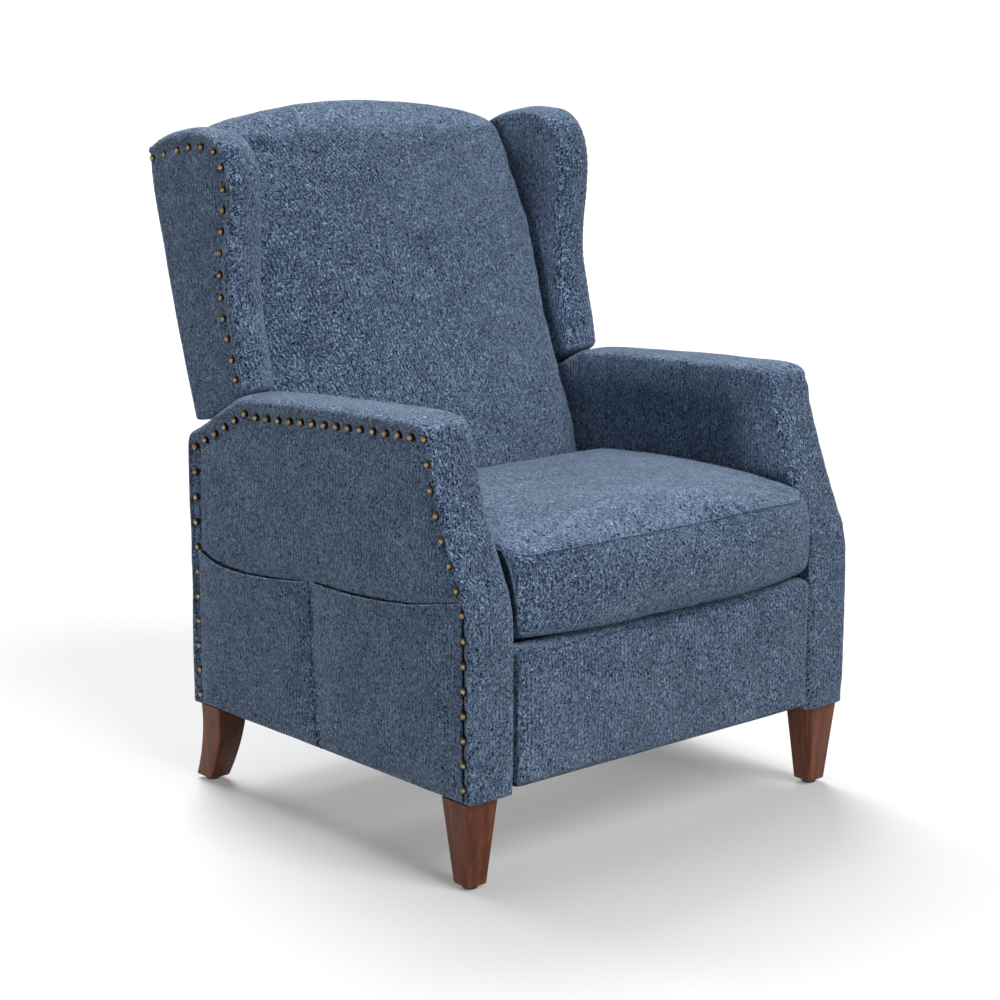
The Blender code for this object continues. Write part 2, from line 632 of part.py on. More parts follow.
# ------------------------------------------------------------ footrest linkage
def make_links(tag, s):
    def x(a):
        return xs(s, a, a + STEEL_T)
    xi = s * X_L1
    # crank: big boss at the seat pivot, knuckle, and a tail for the control link
    bm = prism(hull(arc(S1, 0.0235, 0, 345, 15) + arc(D_REST, 0.0105, 0, 330, 11)), *x(X_L1))
    bm = with_bosses(bm, [(K_REST, 0.0075, *sorted((xi - s * 0.0007, xi + s * 0.001))),
                          (D_REST, 0.0070, *sorted((xi + s * 0.0037, xi + s * 0.002))),
                          (ROD_H, 0.0055, *sorted((xi - s * 0.0007, xi + s * 0.001)))])
    emit("footrest_crank_" + tag, bm, STEEL, S1)
    xi = s * X_L2
    bm = prism(bar_outline(K_REST, B_REST, 0.0115, 0.0115), *x(X_L2))
    bm = with_bosses(bm, [(B_REST, 0.0075, *sorted((xi - s * 0.0007, xi + s * 0.001)))])
    emit("footrest_long_link_" + tag, bm, STEEL, K_REST)
    emit("footrest_control_link_" + tag,
         prism(bar_outline(D_REST, E_REST, 0.0100, 0.0100), *x(X_CTRL)), STEEL, D_REST)
    # push rod from the back bracket to the crank, in the long link's layer
    emit("push_rod_" + tag, prism(bar_outline(ROD_G, ROD_H, 0.0085, 0.0065), *x(X_L2)), STEEL, ROD_G)
    # bracket behind the footrest board
    out = hull(arc(B_REST, 0.013, 0, 330, 11) + arc(E_REST, 0.012, 0, 330, 11)
               + [(-0.3697, 0.172), (-0.3697, 0.272)])
    emit("footrest_bracket_" + tag, prism(out, *x(X_BRK)), STEEL, B_REST)


both(make_links)

emit("footrest_board", box(-0.2780, 0.2780, -0.3850, -0.3700, 0.146, 0.318), PLY, B_REST)
pad = [(-0.3853, 0.1375), (-0.3853, 0.325), (-0.398, 0.328), (-0.410, 0.323), (-0.4155, 0.306),
       (-0.4160, 0.158), (-0.412, 0.1405), (-0.402, 0.1360)]
emit("footrest_pad", prism(pad, -0.2855, 0.2855), FABRIC, B_REST)
emit("footrest_cross_bar", box(-X_BRK + GAP, X_BRK - GAP, -0.3696, -0.3576, 0.182, 0.200), STEEL, B_REST)
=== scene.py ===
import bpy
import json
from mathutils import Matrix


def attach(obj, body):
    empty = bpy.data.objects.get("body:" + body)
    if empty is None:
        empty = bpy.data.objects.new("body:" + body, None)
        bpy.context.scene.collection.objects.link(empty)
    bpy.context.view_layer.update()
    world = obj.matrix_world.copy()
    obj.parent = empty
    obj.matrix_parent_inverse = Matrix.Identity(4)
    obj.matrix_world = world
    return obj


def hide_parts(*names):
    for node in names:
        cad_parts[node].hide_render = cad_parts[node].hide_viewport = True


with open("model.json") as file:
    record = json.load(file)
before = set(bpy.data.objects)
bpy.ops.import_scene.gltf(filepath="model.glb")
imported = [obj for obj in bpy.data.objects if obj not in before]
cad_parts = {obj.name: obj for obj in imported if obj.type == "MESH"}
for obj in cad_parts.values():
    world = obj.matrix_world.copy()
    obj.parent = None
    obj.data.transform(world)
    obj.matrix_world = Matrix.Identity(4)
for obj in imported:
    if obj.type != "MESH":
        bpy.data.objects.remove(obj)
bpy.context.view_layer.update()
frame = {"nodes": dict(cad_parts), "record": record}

import json
import math
import bpy
import numpy as np
from mathutils import Vector, noise
from mathutils.kdtree import KDTree

YS = 0.044                      # chair coordinates to row frame, along y

ARM_IN, ARM_OUT, ARM_MID = 0.288, 0.370, 0.329
ARM_BOTTOM = 0.1275
BACK_BASE = (0.238, 0.554)
BACK_LEAN = math.atan(0.274)
CL, SL = math.cos(BACK_LEAN), math.sin(BACK_LEAN)
PIVOT = (0.155, 0.320)


def bk(u, v):
    """(y, z) of a point u ahead of the back's rear plane and v up along it."""
    return (BACK_BASE[0] - u * CL + v * SL, BACK_BASE[1] + u * SL + v * CL)


# =============================================================== materials
def nt(name):
    m = bpy.data.materials.new(name)
    m.use_nodes = True
    t = m.node_tree
    for n in list(t.nodes):
        t.nodes.remove(n)
    out = t.nodes.new("ShaderNodeOutputMaterial")
    bsdf = t.nodes.new("ShaderNodeBsdfPrincipled")
    t.links.new(bsdf.outputs["BSDF"], out.inputs["Surface"])
    return m, t, bsdf


def node(t, kind, **kw):
    n = t.nodes.new(kind)
    for k, v in kw.items():
        setattr(n, k, v)
    return n


def link(t, a, b):
    t.links.new(a, b)


def mapping(t, vec, scale, loc=(0, 0, 0), rot=(0, 0, 0)):
    m = node(t, "ShaderNodeMapping")
    m.inputs["Scale"].default_value = scale
    m.inputs["Location"].default_value = loc
    m.inputs["Rotation"].default_value = rot
    link(t, vec, m.inputs["Vector"])
    return m.outputs["Vector"]


def noise_tex(t, vec, scale, detail=2.0, rough=0.5, dist=0.0):
    n = node(t, "ShaderNodeTexNoise")
    n.inputs["Scale"].default_value = scale
    n.inputs["Detail"].default_value = detail
    n.inputs["Roughness"].default_value = rough
    n.inputs["Distortion"].default_value = dist
    link(t, vec, n.inputs["Vector"])
    return n


def mathn(t, op, a, b=None, c=None, clamp=False):
    n = node(t, "ShaderNodeMath", operation=op, use_clamp=clamp)
    for i, v in enumerate((a, b, c)):
        if v is None:
            continue
        if isinstance(v, (int, float)):
            n.inputs[i].default_value = v
        else:
            link(t, v, n.inputs[i])
    return n.outputs[0]


def vmath(t, op, a, b=None, scale=None):
    n = node(t, "ShaderNodeVectorMath", operation=op)
    for i, v in enumerate((a, b)):
        if v is None:
            continue
        if isinstance(v, tuple):
            n.inputs[i].default_value = v
        else:
            link(t, v, n.inputs[i])
    if scale is not None:
        n.inputs["Scale"].default_value = scale
    return n.outputs[0]


def ramp(t, fac, stops):
    n = node(t, "ShaderNodeValToRGB")
    el = n.color_ramp.elements
    while len(el) < len(stops):
        el.new(0.5)
    for e, (p, c) in zip(el, stops):
        e.position = p
        e.color = (*c, 1.0)
    link(t, fac, n.inputs["Fac"])
    return n.outputs["Color"]


def mix_rgb(t, fac, a, b, blend="MIX"):
    n = node(t, "ShaderNodeMix", data_type="RGBA", blend_type=blend)
    for i, v in ((0, fac), (6, a), (7, b)):
        if isinstance(v, (int, float)):
            n.inputs[i].default_value = v
        elif isinstance(v, tuple):
            n.inputs[i].default_value = (*v, 1.0)
        else:
            link(t, v, n.inputs[i])
    return n.outputs[2]


def mix_f(t, fac, a, b):
    n = node(t, "ShaderNodeMix", data_type="FLOAT")
    for i, v in ((0, fac), (2, a), (3, b)):
        if isinstance(v, (int, float)):
            n.inputs[i].default_value = v
        else:
            link(t, v, n.inputs[i])
    return n.outputs[0]


def srgb(r, g, b):
    return tuple((c / 255 / 12.92) if c / 255 <= 0.04045 else ((c / 255 + 0.055) / 1.055) ** 2.4
                 for c in (r, g, b))


def ridge(t, n, width):
    """Thin lines where a noise crosses its middle."""
    d = mathn(t, "ABSOLUTE", mathn(t, "SUBTRACT", n, 0.5))
    return mathn(t, "MULTIPLY_ADD", d, -1.0 / width, 1.0, clamp=True)


def fabric(name, tint=1.0, bump_d=0.0015):
    """Blue melange chenille: short curly pile strokes, pale over navy, running up the sides."""
    m, t, b = nt(name)
    co = node(t, "ShaderNodeTexCoord")
    obj = co.outputs["Object"]
    nrm = co.outputs["Normal"]
    w = noise_tex(t, obj, 42.0, 1.0, 0.5)
    warp = vmath(t, "SCALE", vmath(t, "SUBTRACT", w.outputs["Color"], (0.5, 0.5, 0.5)), scale=0.008)
    w2 = noise_tex(t, obj, 230.0, 1.0, 0.5)
    warp2 = vmath(t, "SCALE", vmath(t, "SUBTRACT", w2.outputs["Color"], (0.5, 0.5, 0.5)), scale=0.0068)
    p = vmath(t, "ADD", vmath(t, "ADD", obj, warp), warp2)
    sep = node(t, "ShaderNodeSeparateXYZ")
    link(t, nrm, sep.inputs[0])
    nz = mathn(t, "ABSOLUTE", sep.outputs[2])
    top = mathn(t, "MULTIPLY_ADD", nz, 4.0, -2.4, clamp=True)

    def strokes(across, along, off):
        up = noise_tex(t, mapping(t, p, (across, across, along), off), 1.0, 0.6, 0.5).outputs["Fac"]
        fl = noise_tex(t, mapping(t, p, (across, along, across), (off[1], off[2], off[0])), 1.0, 0.6,
                       0.5).outputs["Fac"]
        return mix_f(t, top, up, fl)

    l1 = ridge(t, strokes(325.0, 185.0, (0.0, 0.0, 0.0)), 0.094)
    l2 = ridge(t, strokes(450.0, 270.0, (3.1, 1.7, 5.3)), 0.112)
    dk = strokes(390.0, 170.0, (9.4, 6.6, 2.9))
    fine = noise_tex(t, obj, 1300.0, 1.0, 0.5).outputs["Fac"]
    pile = mathn(t, "MAXIMUM", l1, mathn(t, "MULTIPLY", l2, 0.82))
    h = mathn(t, "MULTIPLY_ADD", pile, 0.76, mathn(t, "MULTIPLY_ADD", dk, 0.80, -0.265))
    h = mathn(t, "MULTIPLY_ADD", mathn(t, "SUBTRACT", fine, 0.5), 0.30, h)
    # slow patches where one yarn comes forward, and wales that fade in and out
    patch = noise_tex(t, obj, 22.0, 3.0, 0.55).outputs["Fac"]
    psep = node(t, "ShaderNodeSeparateXYZ")
    link(t, vmath(t, "ADD", obj, vmath(t, "SCALE", warp, scale=0.22)), psep.inputs[0])
    run = mathn(t, "ADD", psep.outputs[0], psep.outputs[1])
    wale = mathn(t, "SINE", mathn(t, "MULTIPLY", run, 2 * math.pi / 0.0062))
    comes = mathn(t, "MULTIPLY_ADD", noise_tex(t, obj, 34.0, 2.0, 0.5).outputs["Fac"], 3.2, -1.15, clamp=True)
    h = mathn(t, "MULTIPLY_ADD", mathn(t, "MULTIPLY", wale, comes), 0.115, h)
    hc = mathn(t, "MULTIPLY_ADD", mathn(t, "SUBTRACT", patch, 0.5), 0.30, h)
    k = tint
    col = ramp(t, hc, [
        (0.16, tuple(c * k for c in srgb(6, 17, 41))),
        (0.37, tuple(c * k for c in srgb(29, 52, 88))),
        (0.58, tuple(c * k for c in srgb(76, 108, 151))),
        (0.85, tuple(c * k for c in srgb(188, 214, 245)))])
    hue = noise_tex(t, obj, 12.0, 2.0, 0.5).outputs["Fac"]
    col = mix_rgb(t, mathn(t, "MULTIPLY_ADD", hue, 1.6, -0.5, clamp=True), col,
                  mix_rgb(t, 1.0, col, (0.95, 0.99, 1.03), "MULTIPLY"))
    link(t, col, b.inputs["Base Color"])
    bump = node(t, "ShaderNodeBump")
    bump.inputs["Strength"].default_value = 1.0
    bump.inputs["Distance"].default_value = bump_d
    link(t, h, bump.inputs["Height"])
    link(t, bump.outputs["Normal"], b.inputs["Normal"])
    b.inputs["Roughness"].default_value = 0.92
    b.inputs["Specular IOR Level"].default_value = 0.15
    b.inputs["Sheen Weight"].default_value = 0.95
    b.inputs["Sheen Roughness"].default_value = 0.33
    b.inputs["Sheen Tint"].default_value = (0.58, 0.73, 0.92, 1.0)
    return m


def wood(name):
    """Stained reddish-brown hardwood, satin lacquer, grain along z."""
    m, t, b = nt(name)
    obj = node(t, "ShaderNodeTexCoord").outputs["Object"]
    w = noise_tex(t, mapping(t, obj, (26, 26, 7)), 1.0, 3.0, 0.55, 0.4)
    v = vmath(t, "ADD", mapping(t, obj, (95, 95, 9)),
              vmath(t, "SCALE", w.outputs["Color"], scale=2.2))
    grain = noise_tex(t, v, 1.0, 6.0, 0.62, 0.3).outputs["Fac"]
    pores = noise_tex(t, mapping(t, obj, (1500, 1500, 90)), 1.0, 2.0, 0.6).outputs["Fac"]
    col = ramp(t, grain, [(0.28, srgb(70, 35, 22)), (0.45, srgb(100, 53, 34)),
                          (0.58, srgb(122, 68, 44)), (0.74, srgb(148, 87, 58))])
    pore = mathn(t, "MULTIPLY_ADD", pores, -5.0, 2.35, clamp=True)
    col = mix_rgb(t, mathn(t, "MULTIPLY", pore, 0.35), col, srgb(52, 26, 18))
    link(t, col, b.inputs["Base Color"])
    link(t, mathn(t, "MULTIPLY_ADD", grain, 0.18, 0.38), b.inputs["Roughness"])
    bump = node(t, "ShaderNodeBump")
    bump.inputs["Strength"].default_value = 0.25
    bump.inputs["Distance"].default_value = 0.0006
    link(t, mathn(t, "MULTIPLY_ADD", pore, -0.6, grain), bump.inputs["Height"])
    link(t, bump.outputs["Normal"], b.inputs["Normal"])
    b.inputs["Coat Weight"].default_value = 0.06
    b.inputs["Coat Roughness"].default_value = 0.30
    b.inputs["Specular IOR Level"].default_value = 0.28
    return m


def ply(name):
    """Bare frame timber."""
    m, t, b = nt(name)
    obj = node(t, "ShaderNodeTexCoord").outputs["Object"]
    g = noise_tex(t, mapping(t, obj, (12, 70, 70)), 1.0, 6.0, 0.6, 0.8).outputs["Fac"]
    f = noise_tex(t, mapping(t, obj, (60, 900, 900)), 1.0, 2.0, 0.5).outputs["Fac"]
    col = ramp(t, g, [(0.3, srgb(176, 139, 92)), (0.5, srgb(203, 168, 118)), (0.7, srgb(222, 192, 146))])
    col = mix_rgb(t, mathn(t, "MULTIPLY_ADD", f, -3.0, 1.6, clamp=True), col, srgb(150, 112, 70))
    link(t, col, b.inputs["Base Color"])
    link(t, mathn(t, "MULTIPLY_ADD", f, 0.2, 0.58), b.inputs["Roughness"])
    bump = node(t, "ShaderNodeBump")
    bump.inputs["Strength"].default_value = 0.4
    bump.inputs["Distance"].default_value = 0.0005
    link(t, f, bump.inputs["Height"])
    link(t, bump.outputs["Normal"], b.inputs["Normal"])
    return m


def metal(name, c0, c1, rough, scale, metallic=1.0, bumpd=0.0002, wear=None):
    m, t, b = nt(name)
    obj = node(t, "ShaderNodeTexCoord").outputs["Object"]
    n1 = noise_tex(t, obj, scale, 4.0, 0.6).outputs["Fac"]
    n2 = noise_tex(t, obj, scale * 9.0, 2.0, 0.5).outputs["Fac"]
    col = ramp(t, n1, [(0.34, c0), (0.66, c1)])
    if wear is not None:
        col = mix_rgb(t, mathn(t, "MULTIPLY_ADD", n2, 5.0, -2.9, clamp=True), col, wear)
    link(t, col, b.inputs["Base Color"])
    b.inputs["Metallic"].default_value = metallic
    link(t, mathn(t, "MULTIPLY_ADD", n1, 0.22, rough - 0.11), b.inputs["Roughness"])
    bump = node(t, "ShaderNodeBump")
    bump.inputs["Strength"].default_value = 0.5
    bump.inputs["Distance"].default_value = bumpd
    link(t, n2, bump.inputs["Height"])
    link(t, bump.outputs["Normal"], b.inputs["Normal"])
    return m


def webbing(name):
    m, t, b = nt(name)
    obj = node(t, "ShaderNodeTexCoord").outputs["Object"]
    wv = node(t, "ShaderNodeTexWave", wave_type="BANDS", bands_direction="Z")
    wv.inputs["Scale"].default_value = 140.0
    wv.inputs["Distortion"].default_value = 0.6
    wv.inputs["Detail"].default_value = 2.0
    link(t, obj, wv.inputs["Vector"])
    wx = node(t, "ShaderNodeTexWave", wave_type="BANDS", bands_direction="X")
    wx.inputs["Scale"].default_value = 210.0
    link(t, obj, wx.inputs["Vector"])
    h = mathn(t, "MULTIPLY", wv.outputs["Fac"], wx.outputs["Fac"])
    col = ramp(t, h, [(0.1, srgb(28, 28, 30)), (0.7, srgb(74, 74, 76))])
    link(t, col, b.inputs["Base Color"])
    b.inputs["Roughness"].default_value = 0.85
    bump = node(t, "ShaderNodeBump")
    bump.inputs["Strength"].default_value = 0.6
    bump.inputs["Distance"].default_value = 0.0006
    link(t, h, bump.inputs["Height"])
    link(t, bump.outputs["Normal"], b.inputs["Normal"])
    return m


def plastic(name, c0, c1):
    m, t, b = nt(name)
    obj = node(t, "ShaderNodeTexCoord").outputs["Object"]
    n = noise_tex(t, obj, 700.0, 3.0, 0.6).outputs["Fac"]
    link(t, ramp(t, n, [(0.35, c0), (0.65, c1)]), b.inputs["Base Color"])
    link(t, mathn(t, "MULTIPLY_ADD", n, 0.25, 0.38), b.inputs["Roughness"])
    bump = node(t, "ShaderNodeBump")
    bump.inputs["Strength"].default_value = 0.3
    bump.inputs["Distance"].default_value = 0.0002
    link(t, n, bump.inputs["Height"])
    link(t, bump.outputs["Normal"], b.inputs["Normal"])
    return m


FABRIC = fabric("blue_chenille", 0.88)
WOOD = wood("stained_leg_wood")
PLY = ply("frame_wood")
STEEL = metal("black_steel", (0.012, 0.012, 0.013), (0.034, 0.034, 0.036), 0.46, 120.0, 0.35, 0.00025)
WIRE = metal("spring_steel", (0.20, 0.21, 0.22), (0.40, 0.41, 0.42), 0.34, 260.0)


def brass(name):
    """Antique brass nail heads: colour darkened towards the rim by the dome's facing (painted shade round the rim),
    lighter on the crown.
    """
    m, t, b = nt(name)
    co = node(t, "ShaderNodeTexCoord")
    obj = co.outputs["Object"]
    sep = node(t, "ShaderNodeSeparateXYZ")
    link(t, co.outputs["Normal"], sep.inputs[0])
    # 1 on the crown, falling to 0 at the rim: it darkens the colour towards the rim as painted shade
    facing_for_painted_rim_shade = mathn(t, "ABSOLUTE", sep.outputs[0])
    n1 = noise_tex(t, obj, 330.0, 4.0, 0.6).outputs["Fac"]
    n2 = noise_tex(t, obj, 1700.0, 2.0, 0.5).outputs["Fac"]
    f = mathn(t, "MULTIPLY_ADD", mathn(t, "SUBTRACT", n1, 0.5), 0.9, facing_for_painted_rim_shade)
    # the dark end of this ramp is the painted shade round each nail's rim
    col = ramp(t, f, [(0.50, srgb(38, 32, 24)), (0.80, srgb(88, 74, 50)), (0.96, srgb(142, 122, 84)),
                      (1.0, srgb(172, 150, 108))])
    link(t, col, b.inputs["Base Color"])
    b.inputs["Metallic"].default_value = 0.88
    link(t, mathn(t, "MULTIPLY_ADD", n1, 0.26, 0.26), b.inputs["Roughness"])
    bump = node(t, "ShaderNodeBump")
    bump.inputs["Strength"].default_value = 0.6
    bump.inputs["Distance"].default_value = 0.0004
    link(t, mathn(t, "MULTIPLY_ADD", n2, 0.4, n1), bump.inputs["Height"])
    link(t, bump.outputs["Normal"], b.inputs["Normal"])
    return m


BRASS = brass("antique_brass")
GLIDE = plastic("glide_plastic", (0.010, 0.009, 0.008), (0.030, 0.026, 0.022))
WEB = webbing("webbing")
MAT = {"blue_chenille": FABRIC, "leg_wood": WOOD, "frame_wood": PLY, "black_steel": STEEL,
       "spring_steel": WIRE, "antique_brass": BRASS, "glide_plastic": GLIDE, "webbing": WEB}
SLOT = {s["node"]: s["material_slot"] for s in frame["record"].get("subparts", [])}
for nname, ob in frame["nodes"].items():
    mat = MAT[SLOT.get(nname, "black_steel")]
    if len(ob.material_slots) == 0:
        ob.data.materials.append(mat)
    for sl in ob.material_slots:
        sl.material = mat


# =============================================================== mesh helpers
def get_co(me):
    a = np.zeros(len(me.vertices) * 3)
    me.vertices.foreach_get("co", a)
    return a.reshape(-1, 3)


def set_co(me, a):
    me.vertices.foreach_set("co", np.asarray(a, float).ravel())
    me.update()


def get_no(me):
    a = np.zeros(len(me.vertices) * 3, np.float32)
    me.vertex_normals.foreach_get("vector", a)
    return a.reshape(-1, 3).astype(float)


def add(name, verts, faces, mat=FABRIC, smooth=True):
    """New object from chair coordinates."""
    me = bpy.data.meshes.new(name)
    v = np.asarray(verts, float).copy()
    v[:, 1] += YS
    me.from_pydata([tuple(p) for p in v], [], [tuple(int(i) for i in f) for f in faces])
    me.validate()
    me.update()
    me.materials.append(mat)
    ob = bpy.data.objects.new(name, me)
    bpy.context.scene.collection.objects.link(ob)
    if smooth:
        me.shade_smooth()
    return ob


def bake(ob):
    dg = bpy.context.evaluated_depsgraph_get()
    me = bpy.data.meshes.new_from_object(ob.evaluated_get(dg))
    old = ob.data
    ob.modifiers.clear()
    ob.data = me
    bpy.data.meshes.remove(old)
    me.name = ob.name
    me.shade_smooth()
    return ob


def outward(ob):
    import bmesh
    bm = bmesh.new()
    bm.from_mesh(ob.data)
    bmesh.ops.recalc_face_normals(bm, faces=bm.faces)
    bm.to_mesh(ob.data)
    bm.free()
    ob.data.update()
    return ob


def remesh(ob, size=0.004, smooth=5, factor=0.5):
    outward(ob)
    r = ob.modifiers.new("r", 'REMESH')
    r.mode = 'VOXEL'
    r.voxel_size = size
    r.adaptivity = 0.0
    if smooth:
        s = ob.modifiers.new("s", 'SMOOTH')
        s.iterations = smooth
        s.factor = factor
    return bake(ob)


def subdivide(ob, levels=1):
    s = ob.modifiers.new("sub", 'SUBSURF')
    s.levels = levels
    s.render_levels = levels
    return bake(ob)


def resample(pts, step, closed=True):
    p = np.asarray(pts, float)
    if closed:
        p = np.vstack([p, p[:1]])
    seg = np.linalg.norm(np.diff(p, axis=0), axis=1)
    s = np.concatenate([[0], np.cumsum(seg)])
    n = max(8, int(round(s[-1] / step)))
    q = np.linspace(0, s[-1], n + 1)
    out = np.stack([np.interp(q, s, p[:, k]) for k in range(p.shape[1])], 1)
    return out[:-1] if closed else out


def relax(p, n, f=0.5, closed=True, w=None):
    p = p.copy()
    if w is not None:
        f = f * w[:, None]
    for _ in range(n):
        if closed:
            avg = (np.roll(p, 1, 0) + np.roll(p, -1, 0)) / 2
            p += (avg - p) * f
        else:
            avg = (p[:-2] + p[2:]) / 2
            p[1:-1] += (avg - p[1:-1]) * f
    return p


def inward(p):
    """Unit inward normals of a closed 2-D loop."""
    t = np.roll(p, -1, 0) - np.roll(p, 1, 0)
    t /= np.linalg.norm(t, axis=1)[:, None] + 1e-12
    area = np.sum(p[:, 0] * np.roll(p[:, 1], -1) - np.roll(p[:, 0], -1) * p[:, 1])
    s = 1.0 if area > 0 else -1.0
    return np.stack([-t[:, 1], t[:, 0]], 1) * s


def corner_w(p, corners, r=0.012):
    """0 at the corners that stay sharp, 1 away from them."""
    w = np.ones(len(p))
    for c in corners:
        w = np.minimum(w, np.clip((np.hypot(p[:, 0] - c[0], p[:, 1] - c[1]) - 0.002) / r, 0, 1))
    return w


def inset_family(p, depths, k=None, w=None):
    """The loop inset to each depth in small relaxed steps. k scales the inset point by point."""
    k = np.ones(len(p)) if k is None else k
    out = {}
    cur, d0 = p.copy(), 0.0
    for d in sorted(set(depths)):
        while d0 < d - 1e-9:
            st = min(0.0015, d - d0)
            cur = cur + inward(cur) * (st * k)[:, None]
            cur = relax(cur, 1, 0.25, True, w)
            d0 += st
        out[d] = cur.copy()
    return out


def loft(rings):
    """Closed loft of equal loops, capped at both ends."""
    n = len(rings[0])
    verts = np.vstack(rings)
    faces = []
    for r in range(len(rings) - 1):
        a, b = r * n, (r + 1) * n
        for i in range(n):
            j = (i + 1) % n
            faces.append((a + i, a + j, b + j, b + i))
    faces.append(tuple(range(n))[::-1])
    faces.append(tuple((len(rings) - 1) * n + i for i in range(n)))
    return verts, faces


def mirror_x(v, s):
    v = np.asarray(v, float).copy()
    v[:, 0] *= s
    return v


def seg_dist(q, line):
    """Distance from 2-D points to a polyline and the nearest arc length."""
    line = np.asarray(line, float)
    best = np.full(len(q), 1e9)
    arc = np.zeros(len(q))
    s0 = 0.0
    for a, b in zip(line[:-1], line[1:]):
        d = b - a
        L = np.linalg.norm(d)
        if L < 1e-9:
            continue
        t = np.clip(((q - a) @ d) / (L * L), 0, 1)
        r = np.linalg.norm(q - (a + t[:, None] * d), axis=1)
        m = r < best
        best[m] = r[m]
        arc[m] = s0 + t[m] * L
        s0 += L
    return best, arc


def inside(q, loop):
    """Even-odd test of 2-D points in a closed loop."""
    loop = np.asarray(loop, float)
    c = np.zeros(len(q), bool)
    j = len(loop) - 1
    for i in range(len(loop)):
        yi, xi = loop[i][1], loop[i][0]
        yj, xj = loop[j][1], loop[j][0]
        cond = ((yi > q[:, 1]) != (yj > q[:, 1]))
        with np.errstate(divide="ignore", invalid="ignore"):
            xx = (xj - xi) * (q[:, 1] - yi) / (yj - yi + 1e-18) + xi
        c ^= cond & (q[:, 0] < xx)
        j = i
    return c


def wob(co, scale, seed=0.0, octaves=2):
    """Smooth noise per vertex, about -1 to 1."""
    out = np.empty(len(co))
    for i, c in enumerate(co):
        v = Vector((c[0] * scale + seed, c[1] * scale - seed, c[2] * scale + seed * 0.7))
        s = noise.noise(v)
        if octaves > 1:
            s += 0.5 * noise.noise(v * 2.1)
        out[i] = s
    return out * 1.3


def undulate(ob, amp=0.0009, scale=11.0, seed=0.0, mask=None):
    co, no = get_co(ob.data), get_no(ob.data)
    d = amp * wob(co, scale, seed)
    if mask is not None:
        d = d * mask(co)
    set_co(ob.data, co + no * d[:, None])
    return ob


def limit(ob, lo=None, hi=None):
    """Keep a mesh inside a box in chair coordinates."""
    co = get_co(ob.data)
    co[:, 1] -= YS
    for k in range(3):
        if lo is not None and lo[k] is not None:
            co[:, k] = np.maximum(co[:, k], lo[k])
        if hi is not None and hi[k] is not None:
            co[:, k] = np.minimum(co[:, k], hi[k])
    co[:, 1] += YS
    set_co(ob.data, co)
    return ob


def pull(ob, deltas):
    co = get_co(ob.data)
    set_co(ob.data, co + deltas)
    return ob


def inflate(ob, pin, pressure=4.0, frames=20, cap=0.022, stiff=12.0):
    """Cloth with pressure inside; pin gives each vertex 0 (free) to 1 (held)."""
    sc = bpy.context.scene
    rest = get_co(ob.data)
    w = pin(rest)
    vg = ob.vertex_groups.new(name="pin")
    for i in np.nonzero(w > 0.01)[0]:
        vg.add([int(i)], float(min(1.0, w[i])), 'REPLACE')
    mod = ob.modifiers.new("cloth", 'CLOTH')
    cs = mod.settings
    cs.quality = 5
    cs.mass = 0.3
    cs.tension_stiffness = stiff
    cs.compression_stiffness = stiff
    cs.shear_stiffness = 5.0
    cs.bending_stiffness = 0.6
    cs.use_pressure = True
    cs.uniform_pressure_force = pressure
    cs.effector_weights.gravity = 0.0
    cs.vertex_group_mass = "pin"
    cs.pin_stiffness = 1.0
    mod.point_cache.frame_start = 1
    mod.point_cache.frame_end = frames
    for f in range(1, frames + 1):
        sc.frame_set(f)
    dg = bpy.context.evaluated_depsgraph_get()
    got = get_co(ob.evaluated_get(dg).data)
    d = got - rest
    L = np.linalg.norm(d, axis=1)
    d *= (np.minimum(1.0, cap / np.maximum(L, 1e-9)))[:, None]
    d *= (1.0 - np.clip(w, 0, 1))[:, None]
    ob.modifiers.clear()
    ob.vertex_groups.clear()
    set_co(ob.data, rest + d)
    sc.frame_set(1)
    print("inflate", ob.name, len(rest), "mean mm", round(float(L.mean()) * 1000, 2),
          "max mm", round(float(L.max()) * 1000, 2))
    return ob


def tube(name, pts, r, mat=FABRIC, closed=False, sides=8, flat=1.0):
    """A bead along points in chair coordinates."""
    p = np.asarray(pts, float)
    n = len(p)
    if closed:
        t = np.roll(p, -1, 0) - np.roll(p, 1, 0)
    else:
        t = np.gradient(p, axis=0)
    t /= np.linalg.norm(t, axis=1)[:, None] + 1e-12
    ref = np.array([0.0, 0.0, 1.0])
    verts, faces = [], []
    prev = None
    for i in range(n):
        u = np.cross(t[i], ref if prev is None else prev)
        if np.linalg.norm(u) < 1e-6:
            u = np.cross(t[i], np.array([1.0, 0.0, 0.0]))
        if prev is None:
            u /= np.linalg.norm(u)
            v = np.cross(t[i], u)
        else:
            v = prev - t[i] * np.dot(prev, t[i])
            v /= np.linalg.norm(v) + 1e-12
            u = np.cross(v, t[i])
        prev = v
        rr = r if np.isscalar(r) else r[i]
        for k in range(sides):
            a = 2 * math.pi * k / sides
            verts.append(p[i] + (u * math.cos(a) + v * math.sin(a) * flat) * rr)
    m = n if closed else n - 1
    for i in range(m):
        a, b = i * sides, ((i + 1) % n) * sides
        for k in range(sides):
            l = (k + 1) % sides
            faces.append((a + k, a + l, b + l, b + k))
    if not closed:
        faces.append(tuple(range(sides))[::-1])
        faces.append(tuple((n - 1) * sides + k for k in range(sides)))
    return outward(add(name, verts, faces, mat))


def join(name, obs):
    """Several meshes as one piece."""
    verts, faces, base = [], [], 0
    mat = obs[0].data.materials[0]
    for o in obs:
        c = get_co(o.data)
        c[:, 1] -= YS
        verts.append(c)
        for f in o.data.polygons:
            faces.append([base + i for i in f.vertices])
        base += len(c)
        bpy.data.objects.remove(o, do_unlink=True)
    return add(name, np.vstack(verts), faces, mat)


def finish_piece(ob, body, nodes=()):
    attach(ob, body)
    if nodes:
        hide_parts(*nodes)
    return ob


SIDES = (("left", 1.0), ("right", -1.0))

